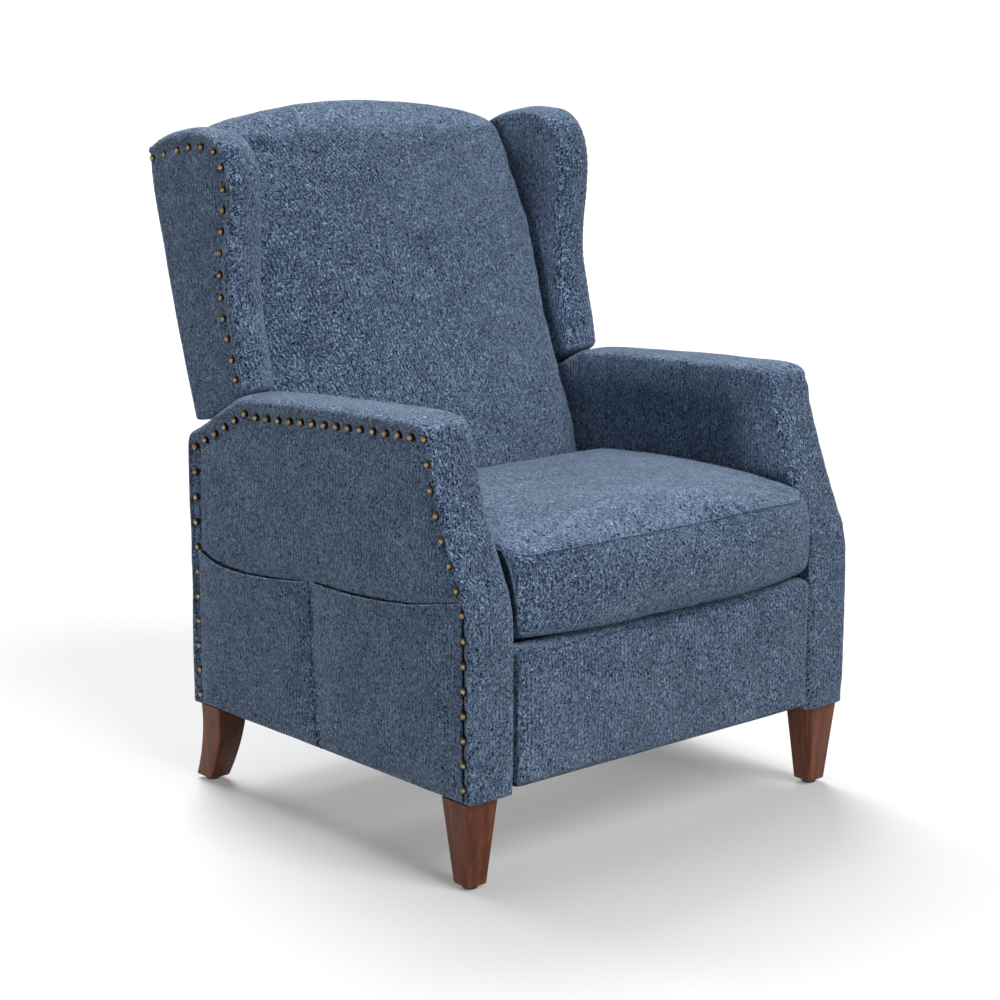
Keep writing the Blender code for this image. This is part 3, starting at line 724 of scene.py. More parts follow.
# =============================================================== nail heads
def nail_points(path, pitch):
    p = np.asarray(path, float)
    seg = np.linalg.norm(np.diff(p, axis=0), axis=1)
    s = np.concatenate([[0], np.cumsum(seg)])
    n = max(1, int(round(s[-1] / pitch)))
    q = np.linspace(0, s[-1], n + 1)
    return np.stack([np.interp(q, s, p[:, k]) for k in range(2)], 1)


def shrink(poly, d):
    p = np.asarray(poly, float)
    n = len(p)
    area = np.sum(p[:, 0] * np.roll(p[:, 1], -1) - np.roll(p[:, 0], -1) * p[:, 1])
    s = 1.0 if area > 0 else -1.0
    out = []
    for i in range(n):
        e1 = p[i] - p[i - 1]
        e2 = p[(i + 1) % n] - p[i]
        e1 = e1 / np.linalg.norm(e1)
        e2 = e2 / np.linalg.norm(e2)
        n1 = np.array([-e1[1], e1[0]]) * s
        n2 = np.array([-e2[1], e2[0]]) * s
        m = n1 + n2
        m /= np.linalg.norm(m)
        out.append(p[i] + m * (d / max(0.35, m @ n1)))
    return np.array(out)


def nails(name, spots, s, r=0.0058, h=0.0034):
    """Domed, slightly hammered nail heads; spots are (x, y, z, tilt about z)."""
    verts, faces = [], []
    prof = [(0.55, -1.1), (1.0, -0.35), (1.0, 0.0), (0.97, 0.16), (0.90, 0.36), (0.76, 0.60), (0.56, 0.81),
            (0.30, 0.95)]
    seg = 18
    for q, (x, y, z, tilt, lift) in enumerate(spots):
        c = np.array([x, y, z])
        ax = np.array([math.cos(tilt) * s, -math.sin(tilt), lift])
        ax /= np.linalg.norm(ax)
        u = np.cross(ax, [0, 0, 1.0])
        u /= np.linalg.norm(u)
        v = np.cross(ax, u)
        base = len(verts)
        for (pr, ph) in prof:
            for k in range(seg):
                a = 2 * math.pi * k / seg
                w = 1.0 + 0.02 * math.sin(3 * a + q)
                verts.append(c + u * math.cos(a) * r * pr * w + v * math.sin(a) * r * pr * w + ax * h * ph)
        verts.append(c + ax * h)
        top = len(verts) - 1
        for i in range(len(prof) - 1):
            for k in range(seg):
                l = (k + 1) % seg
                a0, b0 = base + i * seg, base + (i + 1) * seg
                faces.append((a0 + k, a0 + l, b0 + l, b0 + k))
        last = base + (len(prof) - 1) * seg
        for k in range(seg):
            faces.append((last + k, last + (k + 1) % seg, top))
        faces.append(tuple(base + k for k in range(seg))[::-1])
    return outward(add(name, verts, faces, BRASS))


# =============================================================== arms
ARM_PROFILE = [(0.231, ARM_BOTTOM), (0.231, 0.538), (0.098, 0.611), (0.0, 0.619), (-0.150, 0.627),
               (-0.275, 0.632), (-0.304, 0.631), (-0.318, 0.625), (-0.326, 0.613), (-0.3310, 0.588),
               (-0.3385, 0.560), (-0.3530, 0.5165), (-0.3700, 0.474), (-0.3880, 0.436), (-0.4030, 0.402),
               (-0.4090, 0.372), (-0.4095, 0.350), (-0.4095, ARM_BOTTOM)]
ARM_STRETCHES = [([(0.2160, 0.1430), (0.2145, 0.3600), (0.2110, 0.5220)], 10),
                 ([(0.2110, 0.5220), (0.0840, 0.5880)], 5),
                 ([(0.0840, 0.5880), (0.0537, 0.5861), (-0.0028, 0.5895), (-0.0592, 0.5945),
                   (-0.1941, 0.6030), (-0.3195, 0.6090)], 15),
                 ([(-0.3195, 0.6090), (-0.3245, 0.5788), (-0.3305, 0.5460), (-0.3408, 0.5166),
                   (-0.3534, 0.4810), (-0.3678, 0.4528), (-0.3805, 0.4236), (-0.3950, 0.3941),
                   (-0.3980, 0.3602), (-0.3975, 0.1500)], 14)]


def stretch_points(stretches):
    out = []
    for path, n in stretches:
        p = np.asarray(path, float)
        s = np.concatenate([[0], np.cumsum(np.linalg.norm(np.diff(p, axis=0), axis=1))])
        q = np.linspace(0, s[-1], n + 1)
        pts = np.stack([np.interp(q, s, p[:, k]) for k in range(2)], 1)
        out += list(pts if not out else pts[1:])
    return np.array(out)


ARM_SPOTS = stretch_points(ARM_STRETCHES)
# the outside panel's edge: inside the nails at the rear and on top, past them at the front
_line = np.vstack([[[0.2160, 0.05]], ARM_SPOTS[1:-1], [[-0.3975, 0.05]]])
PANEL_EDGE = np.vstack([shrink(_line, 0.0062)[:30], shrink(_line, -0.0052)[30:]])
PANEL_EDGE[0] = (PANEL_EDGE[0][0], ARM_BOTTOM + 0.004)
PANEL_EDGE[-1] = (PANEL_EDGE[-1][0], ARM_BOTTOM + 0.004)
_front = np.array(ARM_PROFILE[8:][::-1])
PANEL_EDGE[:, 0] = np.maximum(PANEL_EDGE[:, 0], np.interp(PANEL_EDGE[:, 1], _front[:, 1], _front[:, 0]) + 0.0060)

ARM_SEC = [(0.2880, 0.0150), (0.2880, 0.0095), (0.2886, 0.0066), (0.2900, 0.0046), (0.2925, 0.0030),
           (0.2965, 0.0017), (0.3030, 0.0007), (0.3110, 0.0001), (0.3200, 0.0), (0.3330, 0.0),
           (0.3440, 0.0003), (0.3530, 0.0010), (0.3600, 0.0022), (0.3655, 0.0040), (0.3690, 0.0064),
           (0.3704, 0.0092), (0.3708, 0.0125), (0.3704, 0.0160), (0.3660, 0.0200)]


def arm_body(tag, s):
    base = resample(ARM_PROFILE, 0.004)
    w = corner_w(base, [(0.231, ARM_BOTTOM), (-0.4095, ARM_BOTTOM)])
    base = relax(base, 9, 0.5, True, w)
    # crown stands proud of the CAD's plain outline on top and in front
    nrm = inward(base)
    grow = np.where((base[:, 1] > 0.40) | (base[:, 0] < -0.30), 0.0022, 0.0008)
    grow = np.where(base[:, 1] < 0.16, 0.0, grow)
    base = base - nrm * relax(grow[:, None], 30)
    k = np.ones(len(base))
    k = np.where(base[:, 0] > 0.215, 0.42, k)
    k = np.where((base[:, 0] < -0.385) & (base[:, 1] < 0.42), 0.60, k)
    k = np.where(base[:, 1] < ARM_BOTTOM + 0.003, 0.18, k)
    base[:, 0] += np.where(base[:, 0] > 0.22, 0.0030 * np.clip((0.32 - base[:, 1]) / 0.12, 0, 1), 0.0)
    fam = inset_family(base, [d for _, d in ARM_SEC], relax(k[:, None], 3)[:, 0], w)
    rings = [np.column_stack([np.full(len(base), x), fam[d]]) for x, d in ARM_SEC]
    v, f = loft(rings)
    ob = add("arm_upholstery_" + tag, mirror_x(v, s), f)
    remesh(ob, 0.0036, 3)
    co, no = get_co(ob.data), get_no(ob.data)
    q = np.stack([co[:, 1] - YS, co[:, 2]], 1)
    x = np.abs(co[:, 0])
    dz = np.zeros(len(co))
    # bed for the outside panel
    d, _ = seg_dist(q, PANEL_EDGE)
    ins = inside(q, np.vstack([PANEL_EDGE, [PANEL_EDGE[0][0], 0.0]][:1] + [
        np.array([[PANEL_EDGE[-1][0], 0.0], [PANEL_EDGE[0][0], 0.0]])]))
    outer = np.clip((x - 0.352) / 0.010, 0, 1)
    bed = np.where(ins, 0.0046 * np.clip(d / 0.005, 0, 1), 0.0) * outer
    groove = 0.0014 * np.exp(-(d / 0.0035) ** 2) * outer
    kd = KDTree(len(ARM_SPOTS))
    for i, sp in enumerate(ARM_SPOTS):
        kd.insert((sp[0], sp[1], 0), i)
    kd.balance()
    near = np.array([kd.find((a, b, 0))[2] for a, b in q])
    dim = 0.0022 * np.exp(-(near / 0.0085) ** 2) * outer
    co[:, 0] -= s * (bed + groove + dim)
    # inner face: the undulation is smaller there
    innr = np.clip((0.296 - x) / 0.006, 0, 1)
    h = wob(co, 9.0, 3.1 * s)
    dz = 0.0010 * h * (1 - 0.4 * innr)
    # gathers on top of the front corner, where the fabric turns down
    dc = np.hypot(q[:, 0] + 0.312, q[:, 1] - 0.618)
    dz += 0.0011 * np.exp(-(dc / 0.035) ** 2) * np.sin(co[:, 0] * s * 2 * math.pi / 0.013 + 2.0 * h)
    co += no * dz[:, None]
    set_co(ob.data, co)
    finish_piece(ob, "base", ["arm_cover_" + tag])
    return ob


MOUTH_R = [(0.2065, 0.3655), (0.175, 0.357), (0.137, 0.353), (0.089, 0.353), (0.032, 0.357),
           (-0.038, 0.365), (-0.067, 0.370)]
MOUTH_F = [(-0.067, 0.370), (-0.105, 0.369), (-0.169, 0.371), (-0.233, 0.375), (-0.295, 0.382),
           (-0.354, 0.393), (-0.3915, 0.400)]


def arm_panel(tag, s):
    """The padded outside panel: its folded edge lies against the band, nails dimple it."""
    loop = np.vstack([PANEL_EDGE, [[-0.15, ARM_BOTTOM + 0.0035], [0.1, ARM_BOTTOM + 0.0035]]])
    base = relax(resample(loop, 0.004), 4)
    secs = [(0.3560, 0.0040), (0.3575, 0.0006), (0.3610, 0.0), (0.3640, 0.0008), (0.3656, 0.0030),
            (0.3662, 0.0060), (0.3664, 0.0100)]
    fam = inset_family(base, [d for _, d in secs])
    rings = [np.column_stack([np.full(len(base), x), fam[d]]) for x, d in secs]
    v, f = loft(rings)
    ob = add("outside_arm_panel_" + tag, mirror_x(v, s), f)
    remesh(ob, 0.0032, 2)
    co = get_co(ob.data)
    q = np.stack([co[:, 1] - YS, co[:, 2]], 1)
    outer = np.clip((np.abs(co[:, 0]) - 0.361) / 0.004, 0, 1)
    d, _ = seg_dist(q, PANEL_EDGE)
    puff = 0.0026 * (1 - np.exp(-(d / 0.022) ** 1.5))
    kd = KDTree(len(ARM_SPOTS))
    for i, sp in enumerate(ARM_SPOTS):
        kd.insert((sp[0], sp[1], 0), i)
    kd.balance()
    near = np.array([kd.find((a, b, 0))[2] for a, b in q])
    dim = 0.0022 * np.exp(-(near / 0.0085) ** 2)
    # drawn in above the pocket's mouth
    mz = np.interp(q[:, 0], *np.array((MOUTH_R + MOUTH_F[1:])[::-1]).T)
    dip = 0.0050 * np.exp(-(np.clip(q[:, 1] - mz - 0.001, 0, 1) / 0.011) ** 1.5) * np.clip(d / 0.012, 0, 1)
    co[:, 0] += s * outer * (puff - dim - dip + 0.0006 * wob(co, 13.0, 1.7 * s))
    set_co(ob.data, co)
    finish_piece(ob, "base", ["arm_panel_" + tag])
    return ob


POCKET_X = 0.3690


def pocket(tag, s):
    """Two flat pouches sewn to the panel, with a rolled hem and a centre seam."""
    zb = ARM_BOTTOM + 0.0045
    ys = np.concatenate([np.linspace(0.2078, -0.0580, 74), np.linspace(-0.0590, -0.0750, 23),
                         np.linspace(-0.0765, -0.3945, 88)])
    mouth = np.array(MOUTH_R + MOUTH_F[1:])
    mo = mouth[::-1]
    zt = np.interp(ys, mo[:, 0], mo[:, 1])
    nz = 70
    T = np.linspace(0, 1, nz)
    Y = np.repeat(ys[:, None], nz, 1)
    seam_shift = 0.0
    Z = zb + (zt[:, None] - zb) * T[None, :]
    # the centre seam leans a little towards the front near the foot
    lean = np.interp(Z, [0.128, 0.150, 0.229, 0.371], [-0.016, -0.011, 0.0, 0.0])
    w = np.exp(-((Y + 0.067) / 0.06) ** 2)
    Y = Y + lean * w
    yseam = -0.067 + lean
    dl = np.abs(Y - yseam)
    de = np.minimum(0.2078 - Y, Y + 0.3945)
    df = np.abs(Y + 0.370)
    dbot = Z - zb
    edge = np.minimum(np.minimum(dl, de), dbot)
    puff = 0.0040 * (1 - np.exp(-(np.maximum(edge, 0) / 0.030) ** 1.4))
    rear = Y > yseam
    cell = np.where(rear, (yseam - Y) / (yseam - 0.2065), (yseam - Y) / (yseam + 0.3705))
    cell = np.clip(cell, 0, 1)
    gape = 0.0050 * np.sin(math.pi * cell) ** 0.7 * T[None, :] ** 4
    x = POCKET_X + puff + gape
    x -= 0.0030 * np.exp(-(dl / 0.0019) ** 2)
    x += 0.0013 * np.exp(-((yseam - Y - 0.0042) / 0.0026) ** 2)
    x -= 0.0009 * np.exp(-(df / 0.0028) ** 2)
    # hem: a rolled, stitched edge along the mouth
    dm = zt[:, None] - Z
    x += 0.0010 * np.exp(-((dm - 0.004) / 0.005) ** 2) - 0.0009 * np.exp(-((dm - 0.0155) / 0.0020) ** 2)
    co = np.stack([x.ravel(), Y.ravel() + YS, Z.ravel()], 1)
    x = (x.ravel() + 0.0008 * wob(co, 17.0, 5.0 * s) * np.clip(edge.ravel() / 0.02, 0, 1)).reshape(Y.shape)
    inner = x - 0.0028
    inner = np.maximum(inner, 0.3662)
    n0, n1 = Y.shape
    front = np.stack([x, Y, Z], 2).reshape(-1, 3)
    # the inner sheet behind the front one; strips along the borders close the two
    backv = np.stack([inner, Y, Z], 2).reshape(-1, 3)
    verts = np.vstack([front, backv])
    m = n0 * n1
    faces = []
    for i in range(n0 - 1):
        for j in range(n1 - 1):
            a, b, c, d = i * n1 + j, (i + 1) * n1 + j, (i + 1) * n1 + j + 1, i * n1 + j + 1
            faces.append((a, b, c, d))
            faces.append((m + d, m + c, m + b, m + a))
    for i in range(n0 - 1):
        for j in (0, n1 - 1):
            a, b = i * n1 + j, (i + 1) * n1 + j
            faces.append((a, b, m + b, m + a))
    for j in range(n1 - 1):
        for i in (0, n0 - 1):
            a, b = i * n1 + j, i * n1 + j + 1
            faces.append((a, b, m + b, m + a))
    body = outward(add("pk", mirror_x(verts, s), faces))
    hemx = np.interp(ys, Y[::-1, -1], x[::-1, -1])
    hem = tube("hem", np.column_stack([(x[:, -1] - 0.0012) * s, Y[:, -1], Z[:, -1] - 0.0004]), 0.0021, sides=8)
    ob = join("side_pocket_pouch_" + tag, [body, hem])
    finish_piece(ob, "base", ["side_pocket_" + tag])
    return ob


for tag, s in SIDES:
    arm_body(tag, s)
    arm_panel(tag, s)
    pocket(tag, s)
    # the far arm's corner nails sit a little deeper and further in
    spots = []
    for i, p in enumerate(ARM_SPOTS):
        deep = s > 0 and 27 < i < 35
        low = 0.0020 if i < 7 else 0.0
        spots.append((s * ((0.3684 if i < 30 else 0.3672) - (0.0030 if deep else low)),
                      p[0] + (0.0040 if deep else 0.0), p[1] - (0.0015 if deep else 0.0), 0.0, 0.0))
    ob = nails("arm_nail_heads_" + tag, spots, s)
    finish_piece(ob, "base", ["arm_nail_trim_" + tag])

# =============================================================== wings
WING_FRONT = [(0.1095, 0.6140), (0.113, 0.647), (0.122, 0.686), (0.131, 0.726), (0.136, 0.757),
              (0.135, 0.804), (0.131, 0.850), (0.1305, 0.904), (0.1355, 0.937), (0.147, 0.961),
              (0.165, 0.9775), (0.192, 0.9865), (0.240, 0.9885), (0.290, 0.9800), (0.322, 0.9685)]
WING_SPOTS = np.array([(0.3340, 0.9341), (0.3027, 0.9416), (0.2681, 0.9492), (0.2386, 0.9549), (0.2060, 0.9572),
                       (0.1757, 0.9520), (0.1574, 0.9314), (0.1540, 0.8999), (0.1560, 0.8708), (0.1612, 0.8396),
                       (0.1660, 0.8084), (0.1674, 0.7767), (0.1658, 0.7442), (0.1610, 0.7143), (0.1522, 0.6861),
                       (0.1422, 0.6562), (0.1330, 0.6290)])
WING_SEC = [(0.2885, 0.0190), (0.2886, 0.0150), (0.2900, 0.0118), (0.2930, 0.0090), (0.2975, 0.0062),
            (0.3035, 0.0036), (0.3105, 0.0014), (0.3175, 0.0003), (0.3245, 0.0), (0.3320, 0.0004),
            (0.3385, 0.0016), (0.3435, 0.0038), (0.3470, 0.0068), (0.3492, 0.0100), (0.3500, 0.0140),
            (0.3496, 0.0175)]


def wing_seam():
    """The seam runs just outside the nail row."""
    p = np.array(WING_SPOTS)
    t = np.gradient(p, axis=0)
    t /= np.linalg.norm(t, axis=1)[:, None]
    n = np.stack([-t[:, 1], t[:, 0]], 1)
    c = np.array([0.24, 0.80])
    flip = np.sign(np.sum(n * (p - c), axis=1))
    n *= flip[:, None]
    q = p + n * 0.0058
    q = np.vstack([[0.352, 0.9345], q, [0.1245, 0.6040]])
    return relax(resample(q, 0.006, False), 4, closed=False)


WSEAM = wing_seam()


def wing(tag, s):
    rear_top, rear_foot, foot = bk(0.0006, 0.4135), bk(0.0006, 0.0000), (0.1160, 0.6105)
    loop = WING_FRONT + [rear_top, rear_foot, (0.2140, 0.5575), foot]
    base = resample(loop, 0.0035)
    w = corner_w(base, [rear_top, rear_foot], 0.010)
    base = relax(base, 8, 0.5, True, w)
    # the two wings are stuffed a little differently
    up = np.clip((base[:, 1] - 0.88) / 0.10, 0, 1)
    base[:, 1] += np.where(up > 0, up * (0.0030 if s > 0 else -0.0050), 0.0)
    u_fr = -(base[:, 0] - BACK_BASE[0]) * CL + (base[:, 1] - BACK_BASE[1]) * SL
    v_up = (base[:, 0] - BACK_BASE[0]) * SL + (base[:, 1] - BACK_BASE[1]) * CL
    base[:, 0] += np.where(u_fr < 0.006, 0.0060 * np.sin(math.pi * np.clip(v_up / 0.413, 0, 1)) ** 0.8, 0.0)
    slim = 0.0060 * np.exp(-((base[:, 1] - 0.775) / 0.085) ** 2) * np.clip((u_fr - 0.05) / 0.03, 0, 1)
    base[:, 0] += slim if s > 0 else 0.0
    # full rounding in front and on top, tight at the rear plane and the foot
    k = np.ones(len(base))
    k = np.where(u_fr < 0.012, 0.12, k)
    k = np.where((base[:, 1] < 0.618), 0.18, k)
    k = np.where((base[:, 1] > 0.95) & (base[:, 0] > 0.17), 0.62, k)
    k = relax(k[:, None], 12)[:, 0]
    fam = inset_family(base, [d for _, d in WING_SEC], k, w)
    rings = [np.column_stack([np.full(len(base), x), fam[d]]) for x, d in WING_SEC]
    v, f = loft(rings)
    ob = add("wing_upholstery_" + tag, mirror_x(v, s), f)
    remesh(ob, 0.0034, 3)
    co, no = get_co(ob.data), get_no(ob.data)
    q = np.stack([co[:, 1] - YS, co[:, 2]], 1)
    x = np.abs(co[:, 0])
    outer = np.clip((x - 0.338) / 0.008, 0, 1)
    d, arc = seg_dist(q, WSEAM)
    poly = np.vstack([WSEAM, [[0.30, 0.50], [0.50, 0.60], [0.50, 0.93]]])
    ins = inside(q, poly)
    g = 0.0030 * np.exp(-(d / 0.0032) ** 2)
    bed = np.where(ins, 0.0016 * np.clip(d / 0.006, 0, 1) * np.exp(-(d / 0.03) ** 2), 0.0)
    kd = KDTree(len(WING_SPOTS))
    for i, sp in enumerate(WING_SPOTS):
        kd.insert((sp[0], sp[1], 0), i)
    kd.balance()
    near = np.array([kd.find((a, b, 0))[2] for a, b in q])
    dim = 0.0020 * np.exp(-(near / 0.0085) ** 2)
    co[:, 0] -= s * outer * (g + bed + dim)
    h = wob(co, 10.0, 6.3 * s)
    puck = 0.0006 * np.exp(-(d / 0.02) ** 2) * np.sin(arc * 2 * math.pi / 0.012 + 2 * h) * outer * (~ins)
    co += no * (0.0010 * h + puck)[:, None]
    set_co(ob.data, co)
    limit(ob, (-0.352, None, None), (0.352, None, None))
    finish_piece(ob, "back", ["wing_" + tag])
    return ob


for tag, s in SIDES:
    wing(tag, s)
    spots = [(s * 0.3476, p[0], p[1], 0.0, 0.0) for p in WING_SPOTS]
    ob = nails("wing_nail_heads_" + tag, spots, s)
    finish_piece(ob, "back", ["wing_nail_trim_" + tag])

# =============================================================== back cushion
BACK_EDGE = [(0.092, 0.352), (0.076, 0.362), (0.069, 0.400), (0.075, 0.458), (0.089, 0.518),
             (0.113, 0.565), (0.136, 0.628), (0.156, 0.677), (0.174, 0.738), (0.197, 0.816),
             (0.227, 0.876), (0.254, 0.932), (0.272, 0.970), (0.289, 0.9955), (0.312, 1.0085),
             (0.336, 1.0075), (0.349, 0.9920)]


def back_cushion():
    rear = [bk(0.0092, 0.420), bk(0.0092, 0.300), bk(0.0092, 0.0), bk(0.0092, -0.190)]
    prof = relax(resample(BACK_EDGE + rear, 0.006), 5)
    n = inward(prof)
    y, z = prof[:, 0], prof[:, 1]
    u = -(y - BACK_BASE[0]) * CL + (z - BACK_BASE[1]) * SL
    frontw = np.clip((u - 0.03) / 0.05, 0, 1)
    topw = np.clip((z - 0.88) / 0.10, 0, 1)
    xs = [0.2830, 0.2848, 0.2848, 0.2836, 0.2800, 0.2740, 0.2650, 0.2520, 0.2360, 0.2150, 0.1700, 0.1300, 0.0900,
          0.0450, 0.0]
    ds = [0.0400, 0.0320, 0.0255, 0.0195, 0.0135, 0.0090, 0.0052, 0.0024, 0.0008, 0.0, 0.0, 0.0, 0.0, 0.0, 0.0]
    kk = np.where(u < 0.015, 0.15, np.where(z > 0.93, 0.55, 1.0))
    fam = inset_family(prof, ds, relax(kk[:, None], 20)[:, 0])
    rings = []
    swell = 0.006
    for x, d in zip(xs, ds):
        p = fam[d].copy()
        t = abs(x) / 0.2845
        crown = (0.018 - swell) * (1 - t ** 2.4)
        p[:, 0] -= crown * frontw * (1 - 0.35 * topw)
        drop = 0.034 * t * t * topw
        p[:, 1] -= drop
        p[:, 0] -= drop * 0.274
        rings.append(np.column_stack([np.full(len(p), x), p]))
    left = [r for r in rings]
    right = [np.column_stack([-r[:, 0], r[:, 1:]]) for r in rings[:-1]][::-1]
    v, f = loft(left + right)
    ob = add("back_cushion_soft", v, f)
    remesh(ob, 0.006, 3)

    def pin(co):
        yy, zz = co[:, 1] - YS, co[:, 2]
        uu = -(yy - BACK_BASE[0]) * CL + (zz - BACK_BASE[1]) * SL
        w = np.clip((0.055 - uu) / 0.03, 0, 1)
        w = np.maximum(w, np.clip((np.abs(co[:, 0]) - 0.262) / 0.016, 0, 1))
        w = np.maximum(w, np.clip((0.405 - zz) / 0.02, 0, 1))
        return w
    inflate(ob, pin, 3.2, 20, 0.014)
    subdivide(ob, 1)
    co, no = get_co(ob.data), get_no(ob.data)
    h = wob(co, 6.0, 8.8)
    w2 = wob(co, 24.0, 2.8)
    # soft creases fanning in from the crevices, fading towards the middle
    zz = co[:, 2]
    side = np.clip((np.abs(co[:, 0]) - 0.17) / 0.11, 0, 1)
    cre = np.sin((zz + 0.30 * np.abs(co[:, 0])) * 2 * math.pi / 0.047 + 2.4 * h)
    co += no * (0.0014 * h + 0.0004 * w2 + 0.0007 * side * cre)[:, None]
    set_co(ob.data, co)
    limit(ob, (-0.2868, None, None), (0.2868, 0.3550, 1.0130))
    finish_piece(ob, "back", ["back_cushion"])
    return ob


back_cushion()


# =============================================================== seat cushion
def seat_cushion():
    prof0 = [(0.053, 0.3440), (0.055, 0.380), (0.055, 0.442), (0.046, 0.4580), (0.020, 0.4660),
             (-0.060, 0.4725), (-0.180, 0.4780), (-0.300, 0.4745), (-0.375, 0.4680), (-0.408, 0.4620),
             (-0.424, 0.4540), (-0.431, 0.4400), (-0.434, 0.4150), (-0.4345, 0.3850), (-0.4335, 0.3620),
             (-0.4300, 0.3470), (-0.4230, 0.3385), (-0.4120, 0.3370), (-0.3950, 0.3400), (-0.3600, 0.3430),
             (-0.200, 0.3430)]
    prof = relax(resample(prof0, 0.006), 3)
    y, z = prof[:, 0], prof[:, 1]
    topw = np.clip((z - 0.44) / 0.022, 0, 1) * np.clip((0.06 - y) / 0.05, 0, 1)
    frontw = np.clip((-y - 0.385) / 0.03, 0, 1)
    xs = [0.2780, 0.2830, 0.2846, 0.2850, 0.2840, 0.2800, 0.2720, 0.2560, 0.2300, 0.1950, 0.1550, 0.1050,
          0.0500, 0.0]
    ds = [0.0230, 0.0160, 0.0110, 0.0070, 0.0038, 0.0014, 0.0002, 0.0, 0.0, 0.0, 0.0, 0.0, 0.0, 0.0]
    fam = inset_family(prof, ds)
    rings = []
    swell = 0.007
    for x, d in zip(xs, ds):
        p = fam[d].copy()
        t = abs(x) / 0.285
        fore = np.clip((-y + 0.02) / 0.30, 0, 1)
        p[:, 1] += (0.0205 - swell) * (1 - t ** 2.5) * topw * (0.30 + 0.70 * fore)
        p[:, 0] += (0.020 * t ** 4 - 0.010 * (1 - t ** 2.0)) * frontw
        rings.append(np.column_stack([np.full(len(p), x), p]))
    right = [np.column_stack([-r[:, 0], r[:, 1:]]) for r in rings[:-1]][::-1]
    v, f = loft(rings + right)
    ob = add("seat_cushion_soft", v, f)
    remesh(ob, 0.006, 3)

    def pin(co):
        yy, zz = co[:, 1] - YS, co[:, 2]
        w = np.clip((0.356 - zz) / 0.010, 0, 1)
        w = np.maximum(w, np.clip((yy - 0.020) / 0.025, 0, 1))
        w = np.maximum(w, 0.9 * np.clip((np.abs(co[:, 0]) - 0.276) / 0.008, 0, 1))
        return w
    inflate(ob, pin, 3.6, 20, 0.016)
    subdivide(ob, 1)
    # seam round the top edge of the boxing
    co = get_co(ob.data)
    kd = KDTree(len(co))
    for i, c in enumerate(co):
        kd.insert(c, i)
    kd.balance()
    guide = []
    for yv in np.linspace(0.02, -0.392, 60):
        guide.append((0.2848, yv, np.interp(yv, [-0.40, -0.30, 0.02], [0.4560, 0.4600, 0.4560])))
    for xx in np.linspace(0.268, -0.268, 90):
        t = abs(xx) / 0.285
        guide.append((xx, -0.4318 + 0.018 * t ** 4, 0.4640 - 0.006 * t ** 2))
    for yv in np.linspace(-0.392, 0.02, 60):
        guide.append((-0.2848, yv, np.interp(yv, [-0.40, -0.30, 0.02], [0.4560, 0.4600, 0.4560])))
    guide = relax(resample(np.array(guide), 0.0045, False), 12, closed=False)
    snap = np.array([np.array(kd.find((g[0], g[1] + YS, g[2]))[0]) for g in guide])
    snap = relax(snap, 8, closed=False)
    kg = KDTree(len(snap))
    for i, c in enumerate(snap):
        kg.insert(c, i)
    kg.balance()
    no = get_no(ob.data)
    d = np.empty(len(co))
    idx = np.empty(len(co), int)
    for i, c in enumerate(co):
        _, j, r = kg.find(c)
        d[i], idx[i] = r, j
    arc = idx * 0.0045
    above = np.clip((co[:, 2] - snap[idx, 2]) / 0.004 + 0.5, 0, 1)
    h = wob(co, 7.0, 4.4)
    w2 = wob(co, 26.0, 1.1)
    groove = 0.0 * d
    lip = 0.0003 * np.exp(-((d - 0.009) / 0.005) ** 2)
    gath = np.sin(arc * 2 * math.pi / 0.0135 + 2.6 * wob(snap, 20.0, 0.3)[idx])
    puck = 0.0006 * np.exp(-(d / 0.020) ** 2) * gath * above + 0.0003 * np.exp(-(d / 0.012) ** 2) * gath * (1 - above)
    # longer drag wrinkles running in from the front seam
    yy = co[:, 1] - YS
    drag = np.sin((co[:, 0] * 0.8 - yy * 0.6) * 2 * math.pi / 0.036 + 3.0 * h)
    dragw = np.exp(-((yy + 0.375) / 0.055) ** 2) * above
    free = np.clip((0.2848 - np.abs(co[:, 0])) / 0.01, 0, 1)
    co += no * (groove + lip + (puck + 0.0004 * drag * dragw + 0.0012 * h + 0.0003 * w2) * free)[:, None]
    set_co(ob.data, co)
    limit(ob, (-0.2868, -0.4520, 0.3365), (0.2868, 0.0560, 0.5100))
    finish_piece(ob, "seat", ["seat_cushion"])
    bead = snap.copy()
    bead[:, 1] -= YS
    roll = tube("seat_seam_roll", bead[2:-2] + np.array([0.0, -0.0010, 0.0010]), 0.0018, sides=8)
    finish_piece(roll, "seat")
    return ob


seat_cushion()


